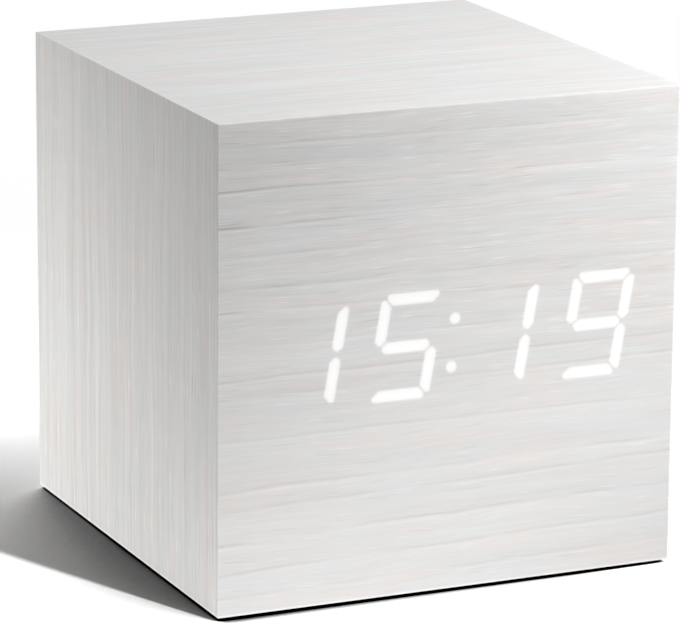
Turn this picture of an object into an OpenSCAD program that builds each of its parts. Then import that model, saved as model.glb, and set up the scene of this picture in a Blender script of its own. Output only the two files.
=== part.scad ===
// Cube alarm clock. Six mitred fibreboard panels under a white wood-grain film, a seven-segment display
// that shines through the film at the front, a control panel at the back and a battery bay underneath.
// Millimetres. The front faces -Y and +Z is up. The origin is on the table, under the middle of the case.

/* [Case] */
// Width of the case, left to right
case_w = 68; // [67:1:90]
// Depth of the case, front to back
case_d = 68; // [64:1:90]
// Height of the case, without its feet
case_h = 67.5; // [62:0.5:90]
// Thickness of the fibreboard panels
board_t = 4; // [3:0.5:5]
// Thickness of the wood-grain film
film_t = 0.3; // [0.2:0.05:0.5]
// Radius of the folded outer edges
edge_r = 0.3; // [0.1:0.05:0.5]

/* [Feet] */
// Diameter of a foot pad
foot_d = 8; // [5:0.5:10]
// Thickness of a foot pad
foot_t = 0.5; // [0.3:0.1:1.5]
// Distance from the sides of the case to the middle of a foot
foot_inset = 6.5; // [5.5:0.5:8]

/* [Display] */
// Hours shown
hours = 15; // [0:1:23]
// Minutes shown
minutes = 19; // [0:1:59]
// Height of a digit
digit_h = 15; // [13:0.5:16]
// Width of a digit over its strokes
digit_w = 9.6; // [8:0.1:10]
// Room between the display housing and the side panels
display_room = 1.6; // [1:0.1:3]
// Lean of the digits, in degrees
digit_lean = 9.8; // [0:0.1:12]
// Width of a segment
segment_w = 1.75; // [1.2:0.05:2.2]
// Gap between neighbouring segments
segment_gap = 0.4; // [0.2:0.05:0.6]
// Cut at the outer corners of a digit
segment_chamfer = 0.9; // [0.2:0.1:1.2]
// Diameter of a colon dot
colon_d = 1.7; // [1.2:0.1:2.4]
// Distance between the colon dots
colon_spacing = 6.7; // [5:0.1:8]
// Lean of the colon, in degrees
colon_lean = 4.2; // [0:0.1:12]
// Sideways offset of the display from the middle of the case
display_x = 0.5; // [-0.5:0.1:0.5]
// Height of the middle of the digits above the bottom of the case
display_rise = 35; // [33:0.5:38]
// Depth of the display housing, front to back
housing_depth = 7; // [5.5:0.5:9]
// Border of the housing at the sides of the digits
housing_side = 0.6; // [0.4:0.1:1]
// Border of the housing above and below the digits
housing_border = 2; // [1:0.5:4]
// Depth of the clear lens that fills the front of a light well
lens_t = 2; // [1:0.5:3]
// Length of a light-emitting chip
led_l = 1.6; // [1:0.1:2]
// Width of a light-emitting chip
led_w = 0.8; // [0.5:0.1:1]
// Height of a light-emitting chip
led_h = 0.6; // [0.4:0.1:1]

/* [Circuit boards] */
// Thickness of both circuit boards
pcb_t = 1.6; // [1:0.2:2]
// Height of the display board above and below the housing
display_board_border = 8; // [7:0.5:9]
// Distance from the edges of a circuit board to its screws
pcb_screw_inset = 3.2; // [2.8:0.1:4]
// Outer diameter of the spacers behind the front panel
spacer_d = 4.5; // [3.5:0.5:5]
// Length of the clock chip
chip_l = 18; // [10:1:20]
// Width of the clock chip's body
chip_w = 7.5; // [4:0.5:9]
// Height of the clock chip's body
chip_h = 2.4; // [1.5:0.1:3]
// Leads along each side of the clock chip
chip_leads = 14; // [8:1:16]
// Diameter of the crystal's can
crystal_d = 2; // [1.5:0.1:3]
// Length of the crystal's can
crystal_l = 6; // [5:0.5:8]
// Diameter of the buzzer
buzzer_d = 12; // [9:0.5:14]
// Height of the buzzer
buzzer_h = 8.5; // [6:0.5:10]
// Diameter of the buzzer's sound hole
buzzer_hole_d = 2.4; // [1.5:0.1:3]
// Diameter of a capacitor
capacitor_d = 5; // [4:0.5:6]
// Height of a capacitor
capacitor_h = 7; // [5:0.5:9]
// Width of the ribbon cable
ribbon_w = 10; // [6:0.5:12]
// Thickness of the ribbon cable
ribbon_t = 0.9; // [0.6:0.1:1.2]
// Height of a ribbon socket
socket_h = 5; // [3:0.5:7]
// Thickness of a ribbon socket's walls
socket_wall = 1.2; // [0.8:0.1:2]

/* [Control panel] */
// Distance between neighbouring controls
control_pitch = 8; // [7.5:0.1:8.5]
// Height of the opening in the back
control_h = 12; // [11:0.5:14]
// Height of the controls above the bottom of the case
control_rise = 34; // [30:0.5:38]
// Depth of the panel's face below the back of the case
panel_recess = 1; // [0.5:0.1:1.5]
// Thickness of the panel's face
plate_t = 1.6; // [1:0.1:2]
// Thickness of the panel's side wall
panel_wall = 1.5; // [1:0.1:2]
// Thickness of the panel's inner flange
panel_flange_t = 1.5; // [1:0.1:2.5]
// Width of the flange at the ends of the opening
panel_flange_side = 3; // [2.5:0.1:4]
// Width of the flange above and below the opening
panel_flange_border = 6; // [5:0.5:7]
// Diameter of a button
button_d = 4.4; // [3.5:0.1:5]
// How far a button stands out of the panel's face
button_proud = 0.8; // [0.4:0.1:1]
// Travel of a button
button_travel = 0.3; // [0.2:0.05:0.4]
// Thickness of the collar that keeps a button in the panel
collar_t = 1; // [0.6:0.1:1.5]
// Width of that collar
collar_w = 0.8; // [0.5:0.1:1]
// Length of a button's stem behind its collar
stem_l = 1.35; // [1:0.05:3]
// Diameter of a button's stem
stem_d = 3; // [2:0.1:3.5]
// Side of a push switch
switch_side = 6; // [5:0.1:6.5]
// Height of a push switch
switch_h = 3.5; // [3:0.1:5]
// Diameter of a switch's plunger
plunger_d = 3.4; // [2.5:0.1:4]
// How far a plunger stands out of its switch
plunger_h = 1.2; // [0.8:0.1:2]
// Side of the power socket's body
jack_side = 7; // [6.5:0.1:7.5]
// Diameter of the power socket's nose
jack_nose_d = 6; // [5:0.1:6.5]
// Diameter of the power plug's barrel
jack_barrel_d = 3.5; // [3:0.1:4]
// Depth of the power socket
jack_depth = 7.5; // [6:0.5:8]
// Diameter of the power socket's pin
jack_pin_d = 1.3; // [1:0.05:1.7]
// Depth of the pin's tip below the panel's face
jack_pin_drop = 0.8; // [0.4:0.1:1.5]
// Diameter of the microphone
mic_d = 6; // [4:0.5:6.5]
// Height of the microphone
mic_h = 2.7; // [1.5:0.1:3]
// Diameter of the sound hole in front of the microphone
mic_hole_d = 1.4; // [1:0.1:2]

/* [Battery bay] */
// Diameter of a cell
cell_d = 10.5; // [9.5:0.1:11]
// Length of a cell over its nub
cell_l = 44.5; // [40:0.5:46]
// Number of cells
cell_count = 3; // [2:1:3]
// Diameter of a cell's nub
nub_d = 3.8; // [3:0.1:4.5]
// Height of a cell's nub
nub_h = 1.2; // [0.8:0.1:1.5]
// Room around a cell
cell_clear = 0.3; // [0.2:0.05:0.5]
// Thickness of the rib between two cells
rib_t = 0.4; // [0.2:0.1:1]
// Length of a contact spring with its cell in place
spring_l = 4; // [3.5:0.1:5]
// Turns of a contact spring
spring_turns = 3; // [2:1:3]
// Diameter of a contact spring's wire
spring_wire = 0.5; // [0.4:0.05:0.6]
// Mean radius of a contact spring at its foot
spring_foot_r = 3; // [2.6:0.1:3.4]
// Mean radius of a contact spring at its tip
spring_tip_r = 1.8; // [1.4:0.1:2.2]
// Thickness of the contact plates
contact_t = 0.4; // [0.3:0.05:0.6]
// Width of a contact plate
contact_w = 7.6; // [7:0.1:8]
// Thickness of the bay's walls
bay_wall = 1.4; // [1:0.1:2]
// Thickness of the bay's rim
rim_t = 2.4; // [2.2:0.1:2.8]
// Width of the rim at the ends of the door
rim_side = 2.5; // [2:0.1:3.5]
// Width of the rim along the sides of the door
rim_border = 4.5; // [4:0.1:5]
// Corner radius of the rim
rim_r = 2; // [1:0.5:3]
// Thickness of the door
door_t = 1.6; // [1.2:0.1:1.8]
// Width of the ledge that the door rests on
ledge = 1; // [0.6:0.1:1.2]
// Gap around the door
door_gap = 0.2; // [0.15:0.05:0.4]
// Diameter of the door's hinge pins
hinge_d = 0.9; // [0.7:0.05:1]
// Length of the door's hinge pins
hinge_l = 1.6; // [1:0.1:2.5]
// Width of the door's latch tongue
latch_w = 12; // [8:0.5:16]
// Length of the door's latch tongue
latch_l = 7; // [5:0.5:9]
// Width of the slits beside the latch tongue
latch_slit = 0.8; // [0.5:0.1:1.2]
// Diameter of a battery lead
lead_d = 1.3; // [1:0.1:1.6]

/* [Fits and fasteners] */
// Gap between pieces that are set into a panel
fit = 0.2; // [0.1:0.05:0.4]
// Gap around a moving pin or button
running = 0.06; // [0.03:0.01:0.1]
// Shank diameter of the screws
screw_d = 2; // [1.6:0.1:2.2]
// Head diameter of the screws
screw_head_d = 3.6; // [3:0.1:4]
// Head height of the screws
screw_head_h = 1.2; // [0.8:0.1:1.5]
// How far a screw bites into what it holds to
screw_bite = 2.6; // [2:0.1:3]

/* [Hidden] */
$fn = 48;
over = 1;

film_colour = [0.87, 0.865, 0.855];
fibre_colour = [0.66, 0.52, 0.37];
black_colour = [0.06, 0.06, 0.065];
green_colour = [0.05, 0.27, 0.14];
steel_colour = [0.75, 0.75, 0.73];

// Planes of the case
base_z = foot_t;
top_z = base_z + case_h;
middle_z = base_z + case_h / 2;
core_w = case_w - 2 * film_t;
core_d = case_d - 2 * film_t;
core_h = case_h - 2 * film_t;
inner_w = core_w - 2 * board_t;
front_in = -core_d / 2 + board_t;
back_in = core_d / 2 - board_t;
floor_in = base_z + film_t + board_t;
foot_x = case_w / 2 - foot_inset;
foot_y = case_d / 2 - foot_inset;

// Display: which segments are lit for 0 to 9, in the order a b c d e f g
SEGMENT_CODES = [
    [1, 1, 1, 1, 1, 1, 0], [0, 1, 1, 0, 0, 0, 0], [1, 1, 0, 1, 1, 0, 1], [1, 1, 1, 1, 0, 0, 1],
    [0, 1, 1, 0, 0, 1, 1], [1, 0, 1, 1, 0, 1, 1], [1, 0, 1, 1, 1, 1, 1], [1, 1, 1, 0, 0, 0, 0],
    [1, 1, 1, 1, 1, 1, 1], [1, 1, 1, 1, 0, 1, 1]];
shown = [floor(hours / 10), hours % 10, floor(minutes / 10), minutes % 10];
display_z = base_z + display_rise;
display_y = -core_d / 2;
lean = tan(digit_lean);
housing_w = inner_w - 2 * display_room;
digit_pitch = (housing_w - 2 * housing_side - digit_w - digit_h * lean) / 3;
housing_h = digit_h + 2 * housing_border;
display_board_front = display_y + housing_depth;
display_board_back = display_board_front + pcb_t;
display_board_w = inner_w - 2 * fit;
display_board_h = housing_h + 2 * display_board_border;
display_screw_x = display_board_w / 2 - pcb_screw_inset;
display_screw_z = display_board_h / 2 - pcb_screw_inset;
spacer_l = display_board_front - front_in;

// Places on the back of the display board, from its middle
chip_at = [0, 2];
crystal_at = [chip_l / 2 + 4, -6];
buzzer_at = [display_board_w / 2 - 9.5, 8];
capacitor_at = [-chip_l / 2 - 1, 5.5 - display_board_h / 2];
capacitor_step = capacitor_d + 1;
ribbon_at = [-12, display_board_h / 2 - 5.5];
chip_lead_w = 0.4;
chip_lead_t = 0.25;
chip_lead_reach = 1.4;
chip_pitch = chip_l / (chip_leads + 1);
crystal_lead_d = 0.4;

// Control panel: five controls in a row, from the left as seen from behind
control_w = 4 * control_pitch + control_h + 2;
control_z = base_z + control_rise;
panel_y = case_d / 2 - panel_recess;
plate_in = panel_y - plate_t;
flange_in = back_in - panel_flange_t;
plunger_top = plate_in - running - collar_t - stem_l;
switch_top = plunger_top - plunger_h;
key_board_front = switch_top - switch_h;
key_board_back = key_board_front - pcb_t;
key_board_w = control_w + 2 * panel_flange_side;
key_board_h = control_h + 2 * panel_flange_border;
panel_screw_x = control_w / 2 - control_h / 4;
panel_screw_z = control_h / 2 + panel_flange_border / 2;
boss_x = control_w / 2 + panel_flange_side / 2 - 1;
boss_d = 4.2;
jack_x = control_x(4);
mic_x = control_x(3);
jack_bore_d = jack_barrel_d + 0.1;
jack_gap = 0.1;
mic_lead_d = 0.5;
mic_lead_step = 2.5;

// Battery bay, with its cells along X
cell_pitch = cell_d + 2 * cell_clear + rib_t;
bay_in_x = cell_l + spring_l + 2 * contact_t;
bay_in_y = cell_count * cell_pitch;
bay_x = bay_in_x + 2 * bay_wall;
bay_y = bay_in_y + 2 * bay_wall;
mouth_x = bay_in_x + 2 * ledge;
mouth_y = bay_in_y + 2 * ledge;
rim_x = mouth_x + 2 * rim_side;
rim_y = mouth_y + 2 * rim_border;
door_in = base_z + door_t;
cell_z = door_in + cell_clear + cell_d / 2;
bay_top = cell_z + cell_d / 2 + cell_clear + bay_wall;
door_x = mouth_x - 2 * door_gap;
door_y = mouth_y - 2 * door_gap;
hinge_x = -mouth_x / 2 + door_gap + door_t / 2;
hinge_z = base_z + door_t / 2;
rim_screw_x = mouth_x / 2 - 6;
rim_screw_y = mouth_y / 2 + rim_border / 2;
lug_w = 2.4;
lug_h = 2;
contact_rise = 3.6;
contact_drop = 4.4;
strip_h = 3;
lead_pad = [control_w / 2 - 4, -control_h / 2];
lead_slack = 9;
lead_gap = 0.1;

function control_x(i) = (2 - i) * control_pitch;
function cell_y(i) = (i - (cell_count - 1) / 2) * cell_pitch;
// The end that a cell's nub points to: +1 or -1 along X
function cell_way(i) = i % 2 == 0 ? 1 : -1;
function contact_x(way) = way * (bay_in_x / 2 - contact_t / 2);

// Shapes that several pieces share

// A panel with its outer face on z = 0 and all four edges mitred inward
module mitred_panel(w, h, t) {
    intersection() {
        rotate([90, 0, 0]) linear_extrude(h, center = true) mitre_profile(w, t);
        rotate([90, 0, 90]) linear_extrude(w, center = true) mitre_profile(h, t);
    }
}

module mitre_profile(w, t) {
    polygon([[-w / 2, 0], [w / 2, 0], [w / 2 - t, t], [-w / 2 + t, t]]);
}

// Each of these moves a panel from z = 0 to its side of a box d deep, w wide and h high round middle_z
module to_front(d) { translate([0, -d / 2, middle_z]) rotate([-90, 0, 0]) children(); }
module to_back(d) { translate([0, d / 2, middle_z]) rotate([90, 0, 0]) children(); }
module to_left(w) { translate([-w / 2, 0, middle_z]) rotate([0, 90, 0]) children(); }
module to_right(w) { translate([w / 2, 0, middle_z]) rotate([0, -90, 0]) children(); }
module to_top(h) { translate([0, 0, middle_z + h / 2]) rotate([180, 0, 0]) children(); }
module to_bottom(h) { translate([0, 0, middle_z - h / 2]) children(); }

module rounded_rect(w, h, r) {
    square([w, h - 2 * r], center = true);
    square([w - 2 * r, h], center = true);
    for (x = [-1, 1], y = [-1, 1])
        translate([x * (w / 2 - r), y * (h / 2 - r)]) circle(r);
}

module stadium(w, h) {
    square([w - h, h], center = true);
    for (x = [-1, 1]) translate([x * (w - h) / 2, 0]) circle(h / 2);
}

// Stands a flat shape up in the XZ plane at y, as thick as t towards +Y
module upright(y, t) {
    translate([0, y + t, 0]) rotate([90, 0, 0]) linear_extrude(t) children();
}

// A cylinder along +Y
module rod_y(at, d, l) {
    translate(at) rotate([-90, 0, 0]) cylinder(d = d, h = l);
}

// A cylinder along +X
module rod_x(at, d, l) {
    translate(at) rotate([0, 90, 0]) cylinder(d = d, h = l);
}

// A screw with its head on z = 0 and its shank down -Z
module screw(l) {
    slot = screw_head_d * 0.18;
    difference() {
        union() {
            cylinder(d = screw_head_d, h = screw_head_h);
            translate([0, 0, -l]) cylinder(d = screw_d, h = l + screw_head_h / 2);
        }
        for (a = [0, 90])
            rotate(a) translate([-screw_head_d / 3, -slot / 2, screw_head_h / 2])
                cube([screw_head_d * 2 / 3, slot, screw_head_h]);
    }
}

// Four places, mirrored about both axes
module at_corners(x, y) {
    for (sx = [-1, 1], sy = [-1, 1]) translate([sx * x, sy * y, 0]) children();
}

function unit(v) = v / norm(v);
function bezier(p, t) = pow(1 - t, 3) * p[0] + 3 * pow(1 - t, 2) * t * p[1]
    + 3 * (1 - t) * t * t * p[2] + t * t * t * p[3];
function heading(path, i) = unit(path[min(i + 1, len(path) - 1)] - path[max(i - 1, 0)]);
function ring(middle, along, side, r, n) = let (u = unit(cross(along, side)), v = cross(along, u))
    [for (k = [0:n - 1]) middle + r * (cos(360 * k / n) * u + sin(360 * k / n) * v)];

// A round tube along a list of points. side is a direction that the path never runs along.
module tube(path, r, n, side) {
    last = len(path) - 1;
    points = [for (i = [0:last]) each ring(path[i], heading(path, i), side, r, n)];
    walls = [for (i = [0:last - 1], k = [0:n - 1]) let (a = i * n + k, b = i * n + (k + 1) % n)
        each [[a, a + n, b + n], [a, b + n, b]]];
    caps = [[for (k = [0:n - 1]) k], [for (k = [n - 1:-1:0]) last * n + k]];
    polyhedron(points, concat(walls, caps));
}

// The case

module case_envelope() {
    intersection() {
        translate([0, 0, base_z]) linear_extrude(case_h) rounded_rect(case_w, case_d, edge_r);
        translate([0, 0, middle_z]) rotate([90, 0, 0])
            linear_extrude(case_d, center = true) rounded_rect(case_w, case_h, edge_r);
        translate([0, 0, middle_z]) rotate([90, 0, 90])
            linear_extrude(case_w, center = true) rounded_rect(case_d, case_h, edge_r);
    }
}

module control_opening() {
    translate([0, 0, control_z]) upright(back_in - over, board_t + film_t + 2 * over)
        stadium(control_w, control_h);
}

module rim_opening(h) {
    translate([0, 0, base_z - over]) linear_extrude(h + over)
        rounded_rect(rim_x + 2 * fit, rim_y + 2 * fit, rim_r);
}

// The film that is folded round the front, top, back and bottom
module wrap_film() color(film_colour) {
    difference() {
        case_envelope();
        translate([0, 0, middle_z]) cube([core_w, core_d, core_h], center = true);
        to_left(case_w) mitred_panel(case_h, case_d, film_t);
        to_right(case_w) mitred_panel(case_h, case_d, film_t);
        control_opening();
        rim_opening(film_t + over);
        at_display() upright(-case_d / 2 - over, film_t + 2 * over) lit_outlines();
    }
}

// The patches of that film in front of the lit segments, which glow
module lit_film() color([1, 1, 1]) {
    at_display() upright(-case_d / 2, film_t) lit_outlines();
}

module left_film() color(film_colour) {
    intersection() {
        case_envelope();
        to_left(case_w) mitred_panel(case_h, case_d, film_t);
    }
}

module right_film() color(film_colour) {
    intersection() {
        case_envelope();
        to_right(case_w) mitred_panel(case_h, case_d, film_t);
    }
}

// Has the window that the display housing fills
module front_board() color(fibre_colour) {
    difference() {
        to_front(core_d) mitred_panel(core_w, core_h, board_t);
        translate([display_x, 0, display_z]) upright(display_y - over, board_t + 2 * over)
            square([housing_w + 2 * fit, housing_h + 2 * fit], center = true);
        translate([0, 0, display_z]) rotate([90, 0, 0]) at_corners(display_screw_x, display_screw_z)
            translate([0, 0, -front_in - over]) cylinder(d = screw_d, h = screw_bite + over);
    }
}

module back_board() color(fibre_colour) {
    difference() {
        to_back(core_d) mitred_panel(core_w, core_h, board_t);
        control_opening();
        translate([0, back_in - over, control_z]) rotate([-90, 0, 0]) at_corners(panel_screw_x, panel_screw_z)
            cylinder(d = screw_d, h = screw_bite + over);
    }
}

module left_board() color(fibre_colour) to_left(core_w) mitred_panel(core_h, core_d, board_t);

module right_board() color(fibre_colour) to_right(core_w) mitred_panel(core_h, core_d, board_t);

module top_board() color(fibre_colour) to_top(core_h) mitred_panel(core_w, core_d, board_t);

// Has a hole for the battery bay and a step for its rim
module bottom_board() color(fibre_colour) {
    difference() {
        to_bottom(core_h) mitred_panel(core_w, core_d, board_t);
        rim_opening(rim_t);
        translate([0, 0, base_z]) linear_extrude(board_t + film_t + over)
            square([bay_x + 2 * fit, bay_y + 2 * fit], center = true);
        at_corners(rim_screw_x, rim_screw_y) translate([0, 0, base_z])
            cylinder(d = screw_d, h = board_t + film_t + over);
    }
}

module feet() color([0.12, 0.12, 0.125]) {
    at_corners(foot_x, foot_y) cylinder(d = foot_d, h = foot_t);
}

// The display

// Outlines of the segments a to g of an upright digit round its middle
segment_inset = segment_gap / sqrt(2);
function flipped(p, x, y) = [for (q = p) [q.x * x, q.y * y]];
function bar_a() = let (x = digit_w / 2 - segment_inset, y = digit_h / 2, c = segment_chamfer, w = segment_w)
    [[-x + c, y], [x - c, y], [x - c / 2, y - c / 2], [x - w, y - w], [-x + w, y - w],
        [-x + c / 2, y - c / 2]];
function bar_b() = let (x = digit_w / 2, y = digit_h / 2 - segment_inset, c = segment_chamfer, w = segment_w,
        s = segment_inset)
    [[x, y - c], [x - c / 2, y - c / 2], [x - w, y - w], [x - w, s + w / 2], [x - w / 2, s], [x, s + w / 2]];
function bar_g() = let (x = digit_w / 2 - segment_w / 2 - segment_inset, w = segment_w)
    [[x, 0], [x - w / 2, w / 2], [-x + w / 2, w / 2], [-x, 0], [-x + w / 2, -w / 2], [x - w / 2, -w / 2]];
function segments() = [bar_a(), bar_b(), flipped(bar_b(), 1, -1), flipped(bar_a(), 1, -1),
    flipped(bar_b(), -1, -1), flipped(bar_b(), -1, 1), bar_g()];
function leaned(p) = [for (q = p) [q.x + q.y * lean, q.y]];
function middle(p) = [for (k = [0, 1]) (max([for (q = p) q[k]]) + min([for (q = p) q[k]])) / 2];
function digit_x(i) = (i - 1.5) * digit_pitch;
function colon_at(k) = [k * colon_spacing / 2 * tan(colon_lean), k * colon_spacing / 2];

// The segments of all four digits whose state is on: 1 for lit, 0 for dark
module digit_outlines(states) {
    for (i = [0:3], s = [0:6])
        if (len(search(SEGMENT_CODES[shown[i]][s], states)) > 0)
            translate([digit_x(i), 0]) polygon(leaned(segments()[s]));
}

module colon_outlines() {
    for (k = [-1, 1]) translate(colon_at(k)) circle(d = colon_d);
}

module lit_outlines() {
    digit_outlines([1]);
    colon_outlines();
}

module at_display() { translate([display_x, 0, display_z]) children(); }

// A block with a light well behind each segment and colon dot
module display_housing() color([0.93, 0.93, 0.92]) {
    at_display() difference() {
        upright(display_y, housing_depth) square([housing_w, housing_h], center = true);
        upright(display_y - over, housing_depth + 2 * over) {
            digit_outlines([0, 1]);
            colon_outlines();
        }
    }
}

module lit_segments() color([1, 1, 1]) {
    at_display() upright(display_y, lens_t) lit_outlines();
}

module dark_segments() color([0.8, 0.8, 0.78]) {
    at_display() upright(display_y, lens_t) digit_outlines([0]);
}

// One chip on the board behind each segment, along it, and one behind each colon dot
module display_leds() color([0.95, 0.9, 0.6]) {
    y = display_board_front - led_h;
    at_display() {
        for (i = [0:3], s = [0:6]) {
            at = middle(leaned(segments()[s]));
            flat = s == 0 || s == 3 || s == 6;
            translate([digit_x(i) + at.x, y, at.y]) led_chip(flat ? led_l : led_w, flat ? led_w : led_l);
        }
        for (k = [-1, 1]) translate([colon_at(k).x, y, colon_at(k).y]) led_chip(led_w, led_w);
    }
}

module led_chip(x, z) {
    translate([-x / 2, 0, -z / 2]) cube([x, led_h, z]);
}

module display_board() color(green_colour) {
    difference() {
        translate([0, 0, display_z]) upright(display_board_front, pcb_t)
            square([display_board_w, display_board_h], center = true);
        translate([0, 0, display_z]) rotate([90, 0, 0]) at_corners(display_screw_x, display_screw_z)
            translate([0, 0, -display_board_back - over])
                cylinder(d = screw_d + 2 * running, h = pcb_t + 2 * over);
    }
}

module board_spacers() color([0.9, 0.9, 0.88]) {
    translate([0, front_in, display_z]) rotate([-90, 0, 0]) at_corners(display_screw_x, display_screw_z)
        difference() {
            cylinder(d = spacer_d, h = spacer_l);
            translate([0, 0, -over]) cylinder(d = screw_d + 2 * running, h = spacer_l + 2 * over);
        }
}

module display_screws() color(steel_colour) {
    translate([0, display_board_back, display_z]) rotate([-90, 0, 0])
        at_corners(display_screw_x, display_screw_z) screw(pcb_t + spacer_l + screw_bite);
}

// Pieces on the back of the display board. at is from the board's middle, and a piece's +Z is off the board.
module on_display_board(at) {
    translate([at.x, display_board_back, display_z + at.y]) rotate([-90, 0, 0]) children();
}

module clock_chip() color([0.1, 0.1, 0.11]) {
    stand = chip_lead_t;
    on_display_board(chip_at) {
        translate([-chip_l / 2, -chip_w / 2, stand]) cube([chip_l, chip_w, chip_h]);
        for (i = [0:chip_leads - 1], way = [-1, 1])
            translate([(i - (chip_leads - 1) / 2) * chip_pitch, way * chip_w / 2, 0]) chip_lead(way);
    }
}

// A bent lead: a foot on the board and a riser into the chip's side
module chip_lead(way) {
    rise = chip_h / 2 + chip_lead_t;
    translate([-chip_lead_w / 2, 0, 0]) rotate([90, 0, 90]) linear_extrude(chip_lead_w) scale([way, 1])
        polygon([[-chip_lead_t, rise], [-chip_lead_t, rise - chip_lead_t], [chip_lead_t, rise - chip_lead_t],
            [chip_lead_t, 0], [chip_lead_reach, 0], [chip_lead_reach, chip_lead_t],
            [2 * chip_lead_t, chip_lead_t], [2 * chip_lead_t, rise]]);
}

module crystal() color(steel_colour) {
    on_display_board(crystal_at) translate([0, 0, crystal_d / 2]) {
        rod_x([0, 0, 0], crystal_d, crystal_l);
        for (y = [-1, 1]) {
            rod_x([-crystal_d, y * crystal_d / 4, 0], crystal_lead_d, crystal_d + crystal_lead_d);
            translate([-crystal_d, y * crystal_d / 4, -crystal_d / 2])
                cylinder(d = crystal_lead_d, h = crystal_d / 2 + crystal_lead_d / 2);
        }
    }
}

module buzzer() color([0.09, 0.09, 0.1]) {
    on_display_board(buzzer_at) difference() {
        cylinder(d = buzzer_d, h = buzzer_h);
        translate([0, 0, buzzer_h / 2]) cylinder(d = buzzer_hole_d, h = buzzer_h);
    }
}

module capacitors() color([0.12, 0.14, 0.3]) {
    for (i = [0, 1]) on_display_board(capacitor_at + [i * capacitor_step, 0]) rotate_extrude() {
        groove = capacitor_d * 0.06;
        r = capacitor_d / 2;
        polygon([[0, 0], [r, 0], [r, groove], [r - groove, 2 * groove], [r, 3 * groove], [r, capacitor_h],
            [0, capacitor_h]]);
    }
}

// One open socket on each board, facing each other across the case
ribbon_z = display_z + ribbon_at.y;
module ribbon_socket() {
    slot_w = ribbon_w + 2 * fit;
    slot_d = ribbon_t + 2 * fit;
    difference() {
        translate([-slot_w / 2 - socket_wall, -slot_d / 2 - socket_wall, 0])
            cube([slot_w + 2 * socket_wall, slot_d + 2 * socket_wall, socket_h]);
        translate([-slot_w / 2, -slot_d / 2, socket_h / 2]) cube([slot_w, slot_d, socket_h]);
    }
}

module ribbon_sockets() color([0.92, 0.9, 0.84]) {
    on_display_board(ribbon_at) ribbon_socket();
    translate([ribbon_at.x, key_board_back, control_z]) rotate([90, 0, 0]) ribbon_socket();
}

// A flat cable on an S curve from the bottom of one socket to the bottom of the other
module ribbon_cable() color([0.6, 0.61, 0.63]) {
    steps = 24;
    from = [display_board_back + socket_h / 2 + fit, ribbon_z];
    to = [key_board_back - socket_h / 2 - fit, control_z];
    reach = (to.x - from.x) / 2;
    curve = [from, from + [reach, 0], to - [reach, 0], to];
    path = [for (k = [0:steps]) bezier(curve, k / steps)];
    across = [for (k = [0:steps]) let (t = heading(path, k)) [-t.y, t.x] * ribbon_t / 2];
    translate([ribbon_at.x - ribbon_w / 2, 0, 0]) rotate([90, 0, 90]) linear_extrude(ribbon_w)
        polygon([for (k = [0:steps]) path[k] + across[k], for (k = [steps:-1:0]) path[k] - across[k]]);
}

// The control panel and what is behind it

module at_controls() { translate([0, 0, control_z]) children(); }

// A recessed face with a side wall, an inner flange and two bosses for the key board
module control_panel() color(black_colour) {
    depth = panel_y - flange_in;
    at_controls() difference() {
        union() {
            upright(flange_in, depth) stadium(control_w - 2 * fit, control_h - 2 * fit);
            upright(flange_in, panel_flange_t)
                rounded_rect(control_w + 2 * panel_flange_side, control_h + 2 * panel_flange_border, rim_r);
            for (way = [-1, 1])
                rod_y([way * boss_x, key_board_front, 0], boss_d, flange_in - key_board_front + over / 2);
        }
        upright(flange_in - over, depth - plate_t + over)
            stadium(control_w - 2 * fit - 2 * panel_wall, control_h - 2 * fit - 2 * panel_wall);
        for (i = [0:2])
            rod_y([control_x(i), plate_in - over, 0], button_d + 2 * running, plate_t + 2 * over);
        rod_y([jack_x, plate_in - over, 0], jack_nose_d + 2 * jack_gap, plate_t + 2 * over);
        rod_y([mic_x, plate_in - over, 0], mic_hole_d, plate_t + 2 * over);
        for (way = [-1, 1]) rod_y([way * boss_x, key_board_front - over, 0], screw_d, screw_bite + over);
        translate([0, flange_in - over, 0]) rotate([-90, 0, 0]) at_corners(panel_screw_x, panel_screw_z)
            cylinder(d = screw_d + 2 * running, h = panel_flange_t + 2 * over);
    }
}

module panel_screws() color(steel_colour) {
    translate([0, flange_in, control_z]) rotate([90, 0, 0])
        at_corners(panel_screw_x, panel_screw_z) screw(panel_flange_t + screw_bite);
}

// A button with a domed head, a collar behind the panel's face and a stem down to its switch
module button(i) {
    head = plate_t + button_proud + running;
    crown = button_d * 0.08;
    at_controls() translate([control_x(i), plunger_top, 0]) rotate([-90, 0, 0]) rotate_extrude()
        polygon([[0, 0], [stem_d / 2, 0], [stem_d / 2, stem_l], [button_d / 2 + collar_w, stem_l],
            [button_d / 2 + collar_w, stem_l + collar_t], [button_d / 2, stem_l + collar_t],
            [button_d / 2, stem_l + collar_t + head - crown],
            [button_d / 2 - crown, stem_l + collar_t + head], [0, stem_l + collar_t + head]]);
}

module set_button() color(black_colour) button(0);
module down_button() color(black_colour) button(1);
module up_button() color(black_colour) button(2);

// The part of a switch that its button pushes in
module plunger(i) {
    at_controls() rod_y([control_x(i), switch_top - switch_h / 3, 0], plunger_d, plunger_h + switch_h / 3);
}

module set_plunger() color([0.2, 0.2, 0.2]) plunger(0);
module down_plunger() color([0.2, 0.2, 0.2]) plunger(1);
module up_plunger() color([0.2, 0.2, 0.2]) plunger(2);

module switch_bodies() color(steel_colour) {
    well = switch_h / 3 + 2 * button_travel;
    for (i = [0:2]) at_controls() difference() {
        upright(key_board_front, switch_h)
            translate([control_x(i), 0]) square(switch_side, center = true);
        rod_y([control_x(i), switch_top - well, 0], plunger_d + 2 * running, well + over);
    }
}

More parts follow.
